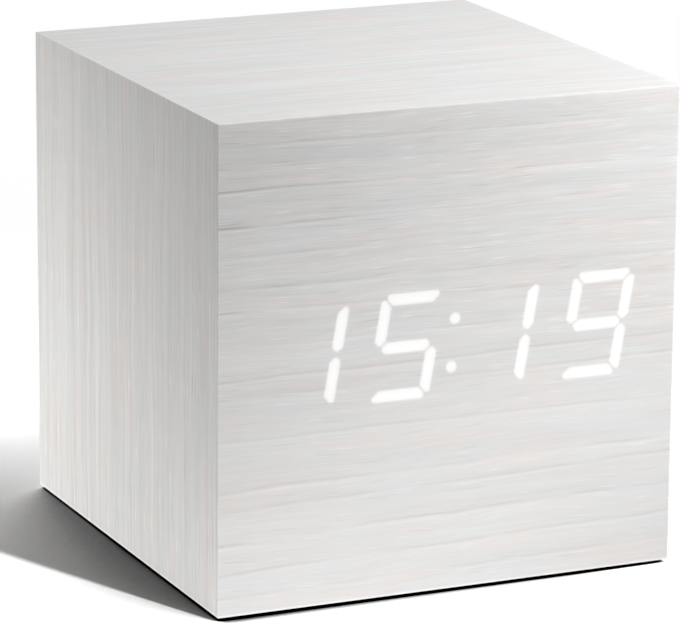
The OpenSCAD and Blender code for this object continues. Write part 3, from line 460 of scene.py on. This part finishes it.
def lit_marks():
    """For each lit segment and colon dot, the loop or point at its core and how far it reaches from there."""
    outlines = segment_outlines()
    made = []
    for place, (digit, (right, up)) in enumerate(zip(SHOWN, SHOWN_OFF)):
        shift = (place - 1.5) * DIGIT_PITCH + right
        for letter in SEGMENT_CODES[digit]:
            leaned = [(x + y * LEAN + shift, y + up) for x, y in outlines[letter]]
            made.append((shrunk(leaned, GLOW_ROUND), GLOW_ROUND))
    for y in (-COLON_SPACING / 2, COLON_SPACING / 2):
        made.append(([Vector((y * COLON_LEAN + COLON_OFF[0], y + COLON_OFF[1]))], COLON_D / 2))
    middle = Vector((DISPLAY_X, DISPLAY_Z - CASE_MIDDLE[2]))
    return [([p + middle for p in core], reach) for core, reach in made]


def apart(point, core):
    """How far a point is from the sides of a loop, or from a single point."""
    gaps = []
    for a, b in zip(core, core[1:] + core[:1]):
        side = b - a
        share = (point - a).dot(side) / side.length_squared if len(core) > 1 else 0.0
        gaps.append((point - a - side * min(1.0, max(0.0, share))).length)
    return min(gaps)


def shine(point, marks):
    """How brightly the film glows at a point, from all the marks around it."""
    level = 0.0
    for core, reach in marks:
        e = apart(point, core) - reach
        if e <= GLOW_STEPS[-1][0]:
            level += GLOW_STEPS[-1][1]
        for (far, low), (near, high) in zip(GLOW_STEPS, GLOW_STEPS[1:]):
            if near < e <= far:
                level += low + (high - low) * (far - e) / (far - near)
    return min(1.0, level)


marks = lit_marks()
rings = [[swollen(core, reach + e) for e, _ in GLOW_STEPS if e <= GLOW_SOFT] for core, reach in marks]
middle_z = CASE_MIDDLE[2]
half_w, half_d, half_h = CASE_HALF

FRONT_SWINGS, BACK_SWINGS = (0.17, 0.19, 0.11, 0.03), (0.14, 0.17, 0.10, 0.03)
TOP_SWINGS, SIDE_SWINGS = (0.08, 0.22, 0.11, 0.04), (0.10, 0.46, 0.32, 0.06)
FRONT_MARKS, TOP_MARKS, SIDE_MARKS, SIDE_RUN, LIT_GLOW = 0.8, 0.6, 1.0, 2.4, 0.63
film_front = film_material("film_front", 0, 2, FRONT_HUE, FRONT_SWINGS, FRONT_MARKS, veins=FRONT_VEINS)
film_back = film_material("film_back", 0, 2, FRONT_HUE, BACK_SWINGS, FRONT_MARKS, veins=FRONT_VEINS[1::2])
film_top = film_material("film_top", 0, 1, FLAT_HUE, TOP_SWINGS, TOP_MARKS, specular=0.05, roughness=0.85)
film_side = film_material("film_side", 2, 1, SIDE_HUE, SIDE_SWINGS, SIDE_MARKS, run=SIDE_RUN)
film_lit = film_material("film_lit", 0, 2, FRONT_HUE, FRONT_SWINGS, FRONT_MARKS, veins=FRONT_VEINS, glow=LIT_GLOW)

front_skin = skin("front_skin", film_front, (0, -half_d, middle_z), (1, 0, 0), (0, 0, 1), half_w, half_h,
                  [r[0] for r in rings])
top_skin = skin("top_skin", film_top, (0, 0, TOP_Z), (1, 0, 0), (0, 1, 0), half_w, half_d)
back_skin = skin("back_skin", film_back, (0, half_d, middle_z), (-1, 0, 0), (0, 0, 1), half_w, half_h,
                 [[(u, v + CONTROL_Z - middle_z) for u, v in stadium(CONTROL_W, CONTROL_H)]])
bottom_skin = skin("bottom_skin", film_top, (0, 0, BASE_Z), (1, 0, 0), (0, -1, 0), half_w, half_d,
                   [rounded_rect(RIM_X + 2 * RIM_FIT, RIM_Y + 2 * RIM_FIT, RIM_R)])
left_skin = skin("left_skin", film_side, (-half_w, 0, middle_z), (0, -1, 0), (0, 0, 1), half_d, half_h)
right_skin = skin("right_skin", film_side, (half_w, 0, middle_z), (0, 1, 0), (0, 0, 1), half_d, half_h)
for piece in (front_skin, top_skin, back_skin, bottom_skin):
    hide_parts("wrap_film")
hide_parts("left_film")
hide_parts("right_film")


def lit_patches():
    """The film in front of the lit segments, with a glow that fades out at each patch's edge."""
    bm = bmesh.new()
    glow = bm.verts.layers.float.new("glow")
    for loops in rings:
        bands = []
        for loop in loops:
            band = [bm.verts.new((u * MM, -half_d * MM, (v + middle_z) * MM)) for u, v in loop]
            for vert, spot in zip(band, loop):
                vert[glow] = shine(Vector(spot), marks)
            bands.append(band)
        behind = [bm.verts.new((u * MM, (-half_d + FILM_T) * MM, (v + middle_z) * MM)) for u, v in loops[0]]
        bands.insert(0, behind)
        count = len(behind)
        for outer, inner in zip(bands, bands[1:]):
            for k in range(count):
                n = (k + 1) % count
                bm.faces.new((outer[k], outer[n], inner[n], inner[k]))
        bm.faces.new(bands[-1])
        bm.faces.new(behind[::-1])
    bmesh.ops.recalc_face_normals(bm, faces=bm.faces)
    return make_object("lit_digits", bm, film_lit, "case", SMOOTH_ANGLE)


lit_digits = lit_patches()
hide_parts("lit_film")


# Finishes of the pieces that keep their CAD shape

BROAD_SCALE, FINE_SHARE, BROAD_SHARE, BUMP_SHARE = 0.07, 0.65, 0.35, 0.4
TONE_AT, SHEEN_AT = (0.30, 0.70), (0.35, 0.65)


def finish_material(name, dark, pale, grain, roughness, metallic=0.0, bump=0.0, specular=0.5):
    """Two tones mixed by a fine and a broad noise. grain is the size of the fine one in mm."""
    t = Tree(name)
    spot = t.vector(*(t.math("DIVIDE", v, grain) for v in t.position()))
    fine = t.noise(spot, detail=3.0)
    broad = t.noise(spot, scale=BROAD_SCALE, detail=2.0)
    blend = t.math("ADD", t.math("MULTIPLY", fine, FINE_SHARE), t.math("MULTIPLY", broad, BROAD_SHARE))
    if bump:
        t.bump(fine, bump, grain * BUMP_SHARE)
    return t.finish(t.mix(t.remap(blend, *TONE_AT), dark, pale),
                    t.remap(broad, *SHEEN_AT, *roughness), metallic, specular)


def zoned_material(name, base, *zones):
    """A finish with others laid over it. A finish is (dark, pale, grain mm, roughness, metallic). A zone is a
    function from the tree and a place in mm to a mask, and the finish that goes there."""
    t = Tree(name)
    place = t.position()
    colour = roughness = metallic = None
    for zone, (dark, pale, grain, rough, metal) in ((None, base), *zones):
        fine = t.noise(t.vector(*(t.math("DIVIDE", v, grain) for v in place)), detail=3.0)
        tone, sheen = t.mix(t.remap(fine, *TONE_AT), dark, pale), t.remap(fine, *TONE_AT, *rough)
        if zone is None:
            colour, roughness, metallic = tone, sheen, metal
            continue
        mask = zone(t, *place)
        colour = t.mix(mask, colour, tone)
        roughness = t.remap(mask, 0.0, 1.0, roughness, sheen, smooth=False)
        if metallic != metal:
            metallic = t.remap(mask, 0.0, 1.0, metallic, metal, smooth=False)
    return t.finish(colour, roughness, metallic)


# Masks for those zones, each from 0 to 1

def above(t, value, limit, soft=0.04):
    return t.remap(value, limit - soft, limit + soft)


def below(t, value, limit, soft=0.04):
    return t.remap(value, limit - soft, limit + soft, 1.0, 0.0)


def both(t, *masks):
    joined = masks[0]
    for mask in masks[1:]:
        joined = t.math("MULTIPLY", joined, mask)
    return joined


def off(t, value, middle):
    return t.math("ABSOLUTE", t.math("SUBTRACT", value, middle))


def radius(t, u, v):
    return t.math("SQRT", t.math("ADD", t.math("MULTIPLY", u, u), t.math("MULTIPLY", v, v)))


def past_y(limit):
    return lambda t, x, y, z: above(t, y, limit)


def cell_place(t, x, y, z):
    """Along a cell toward its nub, across it, and from its axis. The middle cell lies the other way round."""
    row = t.math("ROUND", t.math("DIVIDE", y, CELL_PITCH))
    way = t.math("MULTIPLY_ADD", t.math("ABSOLUTE", row), 2.0, -1.0)
    across = t.math("MULTIPLY_ADD", row, -CELL_PITCH, y)
    rise = t.math("SUBTRACT", z, CELL_Z)
    return t.math("MULTIPLY", x, way), across, radius(t, across, rise)


def cell_metal(t, x, y, z):
    return below(t, cell_place(t, x, y, z)[2], CELL_BARE_R)


def cell_band(t, x, y, z):
    return above(t, cell_place(t, x, y, z)[0], CELL_BAND_X)


def bar(t, along, across, middle, length, width):
    return both(t, below(t, off(t, along, middle), length / 2), below(t, t.math("ABSOLUTE", across), width / 2))


def cell_plus(t, x, y, z):
    along, across, _ = cell_place(t, x, y, z)
    return t.math("MAXIMUM", bar(t, along, across, PLUS_X, SIGN_L, SIGN_W),
                  bar(t, along, across, PLUS_X, SIGN_W, SIGN_L))


def cell_minus(t, x, y, z):
    along, across, _ = cell_place(t, x, y, z)
    return bar(t, along, across, MINUS_X, SIGN_W, SIGN_L)


def board_tracks(t, x, y, z):
    """Copper tracks under the green, some along and some up, in patches."""
    spot = t.vector(t.math("DIVIDE", x, TRACK_PATCH), t.math("DIVIDE", z, TRACK_PATCH))
    upright = above(t, t.noise(spot, detail=0.0), *UPRIGHT_AT)
    lines = [below(t, t.math("PINGPONG", v, TRACK_PITCH / 2), TRACK_W / 2) for v in (z, x)]
    return t.total(both(t, lines[0], t.math("SUBTRACT", 1.0, upright)), both(t, lines[1], upright))


def board_pads(t, x, y, z):
    """Tinned pads on a grid, in patches."""
    out = radius(t, *(t.math("PINGPONG", w, TRACK_PITCH) for w in (x, z)))
    spot = t.vector(t.math("DIVIDE", x, PAD_PATCH), t.math("DIVIDE", z, PAD_PATCH), PAD_SHIFT)
    return both(t, below(t, out, PAD_R), above(t, t.noise(spot, detail=0.0), *PADS_AT))


def can_stripe(t, x, y, z):
    return both(t, above(t, off(t, x, CAN_X), CAN_STRIPE_OFF), below(t, off(t, z, CAN_Z), CAN_STRIPE_W / 2))


def ribbon_edge(t, x, y, z):
    return below(t, x, RIBBON_EDGE_X)


def ribbon_grooves(t, x, y, z):
    return below(t, t.math("PINGPONG", x, RIBBON_PITCH / 2), GROOVE_W / 2)


def chip_outside(t, x, y, z):
    return above(t, off(t, z, CHIP_Z), CHIP_HALF)


def paint(material, *names):
    for name in names:
        slots = nodes[name].data.materials
        slots.clear()
        slots.append(material)


fibreboard = finish_material("fibreboard", (0.30, 0.20, 0.115), (0.47, 0.34, 0.21), 0.35, (0.8, 0.95),
                             bump=0.35)
rubber = finish_material("foot_rubber", (0.012, 0.012, 0.013), (0.030, 0.030, 0.031), 0.25, (0.7, 0.85),
                         bump=0.3)
white_plastic = finish_material("white_plastic", (0.72, 0.72, 0.70), (0.82, 0.82, 0.80), 0.5, (0.4, 0.5),
                                bump=0.1)
dark_lens = finish_material("dark_lens", (0.56, 0.56, 0.54), (0.66, 0.66, 0.63), 1.5, (0.2, 0.3))
# The lit segments are paler than the dark ones: painted light from the LEDs behind them, besides their glow
lit_lens = finish_material("lit_lens", (0.86, 0.86, 0.85), (0.95, 0.95, 0.94), 1.5, (0.2, 0.3))
led_chip = finish_material("led_chip", (0.70, 0.58, 0.14), (0.86, 0.76, 0.30), 0.3, (0.35, 0.5))
steel = finish_material("steel", (0.42, 0.42, 0.41), (0.60, 0.60, 0.58), 0.25, (0.25, 0.4), 1.0, 0.08)
nickel = finish_material("nickel", (0.55, 0.53, 0.47), (0.70, 0.68, 0.61), 0.3, (0.18, 0.32), 1.0, 0.06)
dark_zinc = finish_material("dark_zinc", (0.10, 0.10, 0.105), (0.17, 0.17, 0.175), 0.25, (0.30, 0.42), 1.0,
                            0.08)
black_plastic = finish_material("black_plastic", (0.013, 0.013, 0.014), (0.019, 0.019, 0.020), 0.16,
                                (0.58, 0.65), bump=0.35, specular=0.35)
key_plastic = finish_material("key_plastic", (0.014, 0.014, 0.015), (0.028, 0.028, 0.029), 0.22,
                              (0.34, 0.45), bump=0.12, specular=0.4)
socket_plastic = finish_material("socket_plastic", (0.66, 0.62, 0.50), (0.76, 0.72, 0.60), 0.5, (0.4, 0.5))
lead_black = finish_material("lead_black", (0.008, 0.008, 0.008), (0.018, 0.018, 0.018), 0.6, (0.35, 0.5))
lead_red = finish_material("lead_red", (0.30, 0.012, 0.010), (0.42, 0.024, 0.018), 0.6, (0.35, 0.5))
chip_black = finish_material("chip_black", (0.012, 0.012, 0.013), (0.026, 0.026, 0.028), 0.15, (0.5, 0.65),
                             bump=0.2)

# Pieces made of more than one material: where their zones are, then the finishes that go there
CELL_PITCH, CELL_Z, CELL_BARE_R, CELL_BAND_X = 11.5, 7.65, 4.6, 12.0
PLUS_X, MINUS_X, SIGN_L, SIGN_W = 16.5, -16.5, 3.4, 0.8
TRACK_PITCH, TRACK_W, TRACK_PATCH = 1.27, 0.34, 9.0
PAD_R, PAD_PATCH, PAD_SHIFT = 0.5, 6.0, 9.0
UPRIGHT_AT, PADS_AT = (0.5, 0.01), (0.55, 0.02)
CHIP_Z, CHIP_HALF = 37.5, 3.77
CAN_X, CAN_Z, CAN_END_Y, CAN_STRIPE_OFF, CAN_STRIPE_W = -7.0, 23.5, -18.35, 4.9, 2.0
RIBBON_EDGE_X, RIBBON_PITCH, GROOVE_W = -16.0, 1.0, 0.20
FELT_Y, SWITCH_FRAME_Y = 31.1, 27.5
TIN = ((0.50, 0.50, 0.49), (0.66, 0.66, 0.64), 0.3, (0.25, 0.40), 1.0)
ALUMINIUM = ((0.58, 0.58, 0.58), (0.70, 0.70, 0.70), 0.2, (0.30, 0.42), 1.0)
BLACK = ((0.012, 0.012, 0.013), (0.022, 0.022, 0.023), 0.2, (0.45, 0.60), 0.0)
FELT = ((0.004, 0.004, 0.004), (0.012, 0.012, 0.012), 0.08, (0.9, 1.0), 0.0)
GREEN = ((0.006, 0.065, 0.024), (0.009, 0.080, 0.030), 0.6, (0.30, 0.40), 0.0)
TRACK = ((0.012, 0.115, 0.045), (0.018, 0.140, 0.056), 0.6, (0.28, 0.36), 0.0)
CAN_BLUE = ((0.012, 0.018, 0.055), (0.016, 0.024, 0.070), 0.4, (0.30, 0.40), 0.0)
PALE_STRIPE = ((0.42, 0.43, 0.45), (0.48, 0.49, 0.51), 0.4, (0.30, 0.40), 0.0)
GREY_VINYL = ((0.30, 0.31, 0.33), (0.35, 0.36, 0.38), 0.5, (0.40, 0.50), 0.0)
GROOVE = ((0.16, 0.165, 0.18), (0.20, 0.205, 0.22), 0.5, (0.50, 0.60), 0.0)
RED_VINYL = ((0.34, 0.018, 0.014), (0.42, 0.026, 0.020), 0.5, (0.40, 0.50), 0.0)
CELL_SILVER = ((0.46, 0.47, 0.48), (0.50, 0.51, 0.52), 0.5, (0.36, 0.42), 0.7)
CELL_DARK = ((0.016, 0.017, 0.019), (0.022, 0.023, 0.025), 0.5, (0.30, 0.38), 0.0)
circuit_board = zoned_material("circuit_board", GREEN, (board_tracks, TRACK), (board_pads, TIN))
can_sleeve = zoned_material("capacitor_sleeve", CAN_BLUE, (can_stripe, PALE_STRIPE),
                            (past_y(CAN_END_Y), ALUMINIUM))
ribbon = zoned_material("ribbon_grey", GREY_VINYL, (ribbon_edge, RED_VINYL), (ribbon_grooves, GROOVE))
chip_legs = zoned_material("chip_and_legs", BLACK, (chip_outside, TIN))
capsule = zoned_material("microphone_can", ALUMINIUM, (past_y(FELT_Y), FELT))
switch = zoned_material("switch_body", BLACK, (past_y(SWITCH_FRAME_Y), TIN))
cell = zoned_material("battery_cell", CELL_SILVER, (cell_band, CELL_DARK), (cell_plus, CELL_SILVER),
                      (cell_minus, CELL_DARK), (cell_metal, TIN))
LENS_GLOW = 0.5
lens_shader = lit_lens.node_tree.nodes["Principled BSDF"]
lens_shader.inputs["Emission Color"].default_value = WHITE
lens_shader.inputs["Emission Strength"].default_value = LENS_GLOW

paint(fibreboard, "front_board", "back_board", "left_board", "right_board", "top_board", "bottom_board")
paint(rubber, "feet")
paint(white_plastic, "display_housing", "board_spacers")
paint(lit_lens, "lit_segments")
paint(dark_lens, "dark_segments")
paint(led_chip, "display_leds")
paint(circuit_board, "display_board", "key_board")
paint(steel, "display_screws", "panel_screws", "key_board_screws", "crystal")
paint(dark_zinc, "battery_box_screws")
paint(capsule, "microphone")
paint(switch, "switch_bodies")
paint(chip_legs, "clock_chip")
paint(chip_black, "buzzer")
paint(can_sleeve, "capacitors")
paint(socket_plastic, "ribbon_sockets")
paint(ribbon, "ribbon_cable")
paint(black_plastic, "control_panel", "battery_box", "battery_door", "dc_jack")
paint(key_plastic, "set_button", "down_button", "up_button", "set_plunger", "down_plunger", "up_plunger")
paint(nickel, "battery_contacts", "battery_springs", "jack_pin")
paint(cell, "batteries")
paint(lead_black, "black_lead")
paint(lead_red, "red_lead")


# Floor, light and camera

FLOOR_HALF, FLOOR_BOUNCE = 1.5, 0.12
# The shadow deepens within SHADE_REACH mm of the case, most on the side that SHADE_SIDE faces away from, and goes
# black within TOUCH_REACH mm. It fades to white between two distances from the middle of the floor.
SHADE_REACH, SHADE_SIDE, SHADE_AT, SHADE_LEAST = 60.0, (0.6, 0.0, 0.8), (0.22, 0.58), 0.05
TOUCH_REACH, TOUCH_LOW, TOUCH_HIGH = 4.0, 0.50, 0.83
SHADE_SAMPLES, TOUCH_SAMPLES = 48, 16
FADE_FROM, FADE_TO = 95.0, 250.0
# How much thinner the painted black contact shadow under the case is at its left end, toward the right and toward
# the back
THIN_LEFT, THIN_RIGHT, THIN_FAR_RIGHT, THIN_BACK = 0.14, 0.16, 0.22, 0.26
LEFT_END, FAR_RIGHT_X, BACK_Y, PAST_CASE = 1.0, 18.0, -4.0, 2.0


def floor_material():
    """White where it is seen, with the shadow deepened close to the object. It sends only a little light back,
    and from below it is clear, so that the underside can be looked at."""
    t = Tree("floor_white")
    path = t.add("ShaderNodeLightPath")
    seen = t.math("MAXIMUM", path.outputs["Is Camera Ray"],
                  t.math("MAXIMUM", path.outputs["Is Glossy Ray"], path.outputs["Is Transmission Ray"]))
    x, y, _ = t.position()
    # Painted shadow: the floor's seen colour is darkened where the case hides it, and made black just under its
    # edge
    near = t.add("ShaderNodeAmbientOcclusion", samples=SHADE_SAMPLES)
    near.inputs["Distance"].default_value = SHADE_REACH * MM
    t.put(near.inputs["Normal"], t.vector(*SHADE_SIDE))
    painted_shadow = t.remap(near.outputs["AO"], *SHADE_AT, SHADE_LEAST, 1.0)
    touch = t.add("ShaderNodeAmbientOcclusion", samples=TOUCH_SAMPLES)
    touch.inputs["Distance"].default_value = TOUCH_REACH * MM
    thin = t.total(t.remap(x, -CASE_W / 2, -CASE_W / 2 + LEFT_END, THIN_LEFT, 0.0),
                   t.remap(x, -CASE_W / 2, CASE_W / 2, 0.0, THIN_RIGHT, smooth=False),
                   t.remap(x, FAR_RIGHT_X, CASE_W / 2 + PAST_CASE, 0.0, THIN_FAR_RIGHT),
                   t.remap(y, BACK_Y, CASE_D / 2 + PAST_CASE, 0.0, THIN_BACK))
    painted_shadow = t.math("MULTIPLY", painted_shadow, t.remap(touch.outputs["AO"], t.math("SUBTRACT", TOUCH_LOW, thin),
                                            t.math("SUBTRACT", TOUCH_HIGH, thin)))
    diffuse, white = t.add("ShaderNodeBsdfDiffuse"), t.add("ShaderNodeEmission")
    t.put(diffuse.inputs["Color"], t.mix(seen, (FLOOR_BOUNCE,) * 3, t.grey(painted_shadow)))
    blend = t.add("ShaderNodeMixShader")
    t.put(blend.inputs[0], t.math("MULTIPLY", seen, t.remap(radius(t, x, y), FADE_FROM, FADE_TO)))
    t.links.new(diffuse.outputs[0], blend.inputs[1])
    t.links.new(white.outputs[0], blend.inputs[2])
    clear, two_sided = t.add("ShaderNodeBsdfTransparent"), t.add("ShaderNodeMixShader")
    t.put(two_sided.inputs[0], t.add("ShaderNodeNewGeometry").outputs["Backfacing"])
    t.links.new(blend.outputs[0], two_sided.inputs[1])
    t.links.new(clear.outputs[0], two_sided.inputs[2])
    t.links.new(two_sided.outputs[0], t.output.inputs["Surface"])
    return t.material


bm = bmesh.new()
bmesh.ops.create_grid(bm, x_segments=1, y_segments=1, size=FLOOR_HALF)
floor_mesh = bpy.data.meshes.new("floor")
bm.to_mesh(floor_mesh)
bm.free()
floor_mesh.materials.append(floor_material())
floor = bpy.data.objects.new("floor", floor_mesh)
bpy.context.scene.collection.objects.link(floor)


def receivers(name, state):
    """Makes a lamp light the floor alone, or everything but the floor."""
    group = bpy.data.collections.new(name)
    group.objects.link(floor)
    group.collection_objects[0].light_linking.link_state = state
    return group


only_floor, all_but_floor = receivers("only_floor", "INCLUDE"), receivers("all_but_floor", "EXCLUDE")

# name, azimuth, elevation, distance mm, width mm, height mm, aim height mm, brightness
FLOOR_LAMPS = (
    ("floor_key", 19.5, 47.0, 1400.0, 40.0, 40.0, 0.0, 6000.0),
    ("floor_back", 195.0, 17.0, 120.0, 26.0, 26.0, 0.0, 27.2),
)
LAMPS = (
    ("above", -20.0, 70.0, 300.0, 150.0, 150.0, 34.0, 4.85),
    ("above_back", 160.0, 60.0, 300.0, 150.0, 150.0, 34.0, 2.91),
    ("above_right", 90.0, 45.0, 200.0, 100.0, 100.0, 34.0, 2.13),
    ("front_right", 40.0, 25.0, 160.0, 80.0, 80.0, 34.0, 4.94),
    ("back_left", -140.0, 0.0, 160.0, 80.0, 80.0, 34.0, 2.48),
    ("low_front", 15.0, 0.0, 100.0, 60.0, 20.0, 12.0, 2.53),
    ("low_left", -120.0, 0.0, 100.0, 60.0, 20.0, 12.0, 1.27),
    ("under_front", -15.0, -20.0, 110.0, 70.0, 30.0, 8.0, 4.42),
    ("under_right", 60.0, -20.0, 110.0, 70.0, 30.0, 8.0, 0.41),
    ("under_left", -60.0, -50.0, 160.0, 80.0, 80.0, 34.0, 3.02),
    ("under_back", -140.0, -40.0, 200.0, 100.0, 100.0, 34.0, 5.36),
    ("under_fill", 0.0, -89.0, 240.0, 66.0, 66.0, 34.0, 9.0),
    ("right_fill", 90.0, 0.0, 240.0, 66.0, 66.0, 34.0, 10.0),
    ("back_fill", 180.0, 0.0, 240.0, 66.0, 66.0, 34.0, 9.0),
)


def lamp(name, azimuth, elevation, distance, width, height, aim, brightness, lights=all_but_floor):
    """A softbox that faces the middle of the case. brightness is the radiance of its face."""
    a, e = math.radians(azimuth), math.radians(elevation)
    back = Vector((math.sin(a) * math.cos(e), -math.cos(a) * math.cos(e), math.sin(e)))
    data = bpy.data.lights.new(name, "AREA")
    data.shape, data.size, data.size_y = "RECTANGLE", width * MM, height * MM
    data.energy = brightness * math.pi * width * height * MM * MM
    made = bpy.data.objects.new(name, data)
    bpy.context.scene.collection.objects.link(made)
    made.location = (Vector((0, 0, aim)) + back * distance) * MM
    made.rotation_mode = "QUATERNION"
    made.rotation_quaternion = (-back).to_track_quat("-Z", "Y")
    made.visible_camera = False
    made.light_linking.receiver_collection = lights
    if lights == all_but_floor:
        made.light_linking.blocker_collection = all_but_floor


for entry in FLOOR_LAMPS:
    lamp(*entry, only_floor)
for entry in LAMPS:
    lamp(*entry)

# The background is white where it is seen, and gives only a little light
WORLD_LIGHT, WORLD_SEEN = 0.10, 1.0
world = bpy.data.worlds.new("studio")
bpy.context.scene.world = world
world.use_nodes = True
sky = world.node_tree
path = sky.nodes.new("ShaderNodeLightPath")
shown = path.outputs["Is Camera Ray"]
for other in ("Is Glossy Ray", "Is Transmission Ray"):
    either = sky.nodes.new("ShaderNodeMath")
    either.operation = "MAXIMUM"
    sky.links.new(shown, either.inputs[0])
    sky.links.new(path.outputs[other], either.inputs[1])
    shown = either.outputs[0]
level = sky.nodes.new("ShaderNodeMapRange")
level.inputs["To Min"].default_value = WORLD_LIGHT
level.inputs["To Max"].default_value = WORLD_SEEN
sky.links.new(shown, level.inputs["Value"])
sky.nodes["Background"].inputs["Color"].default_value = WHITE
sky.links.new(level.outputs[0], sky.nodes["Background"].inputs["Strength"])

# The camera as it was fitted to the edges of the cube in the photo
LENS, SENSOR_W, CAMERA_AT = 240.3, 36.0, (-0.25589, -0.56669, 0.19246)
CLIP_NEAR, CLIP_FAR = 0.05, 20.0
RIGHT, DOWN = Vector((0.912827, -0.40828, 0.007292)), Vector((-0.096068, -0.232075, -0.967942))
FORWARD = Vector((0.396884, 0.882864, -0.251067))
camera_data = bpy.data.cameras.new("camera")
camera_data.sensor_width = SENSOR_W
camera_data.lens = LENS
camera_data.clip_start, camera_data.clip_end = CLIP_NEAR, CLIP_FAR
camera = bpy.data.objects.new("camera", camera_data)
bpy.context.scene.collection.objects.link(camera)
camera.matrix_world = (Matrix.Translation(CAMERA_AT)
                       @ Matrix((RIGHT, -DOWN, -FORWARD)).transposed().to_4x4())
bpy.context.scene.camera = camera
bpy.context.scene.view_settings.view_transform = "Standard"
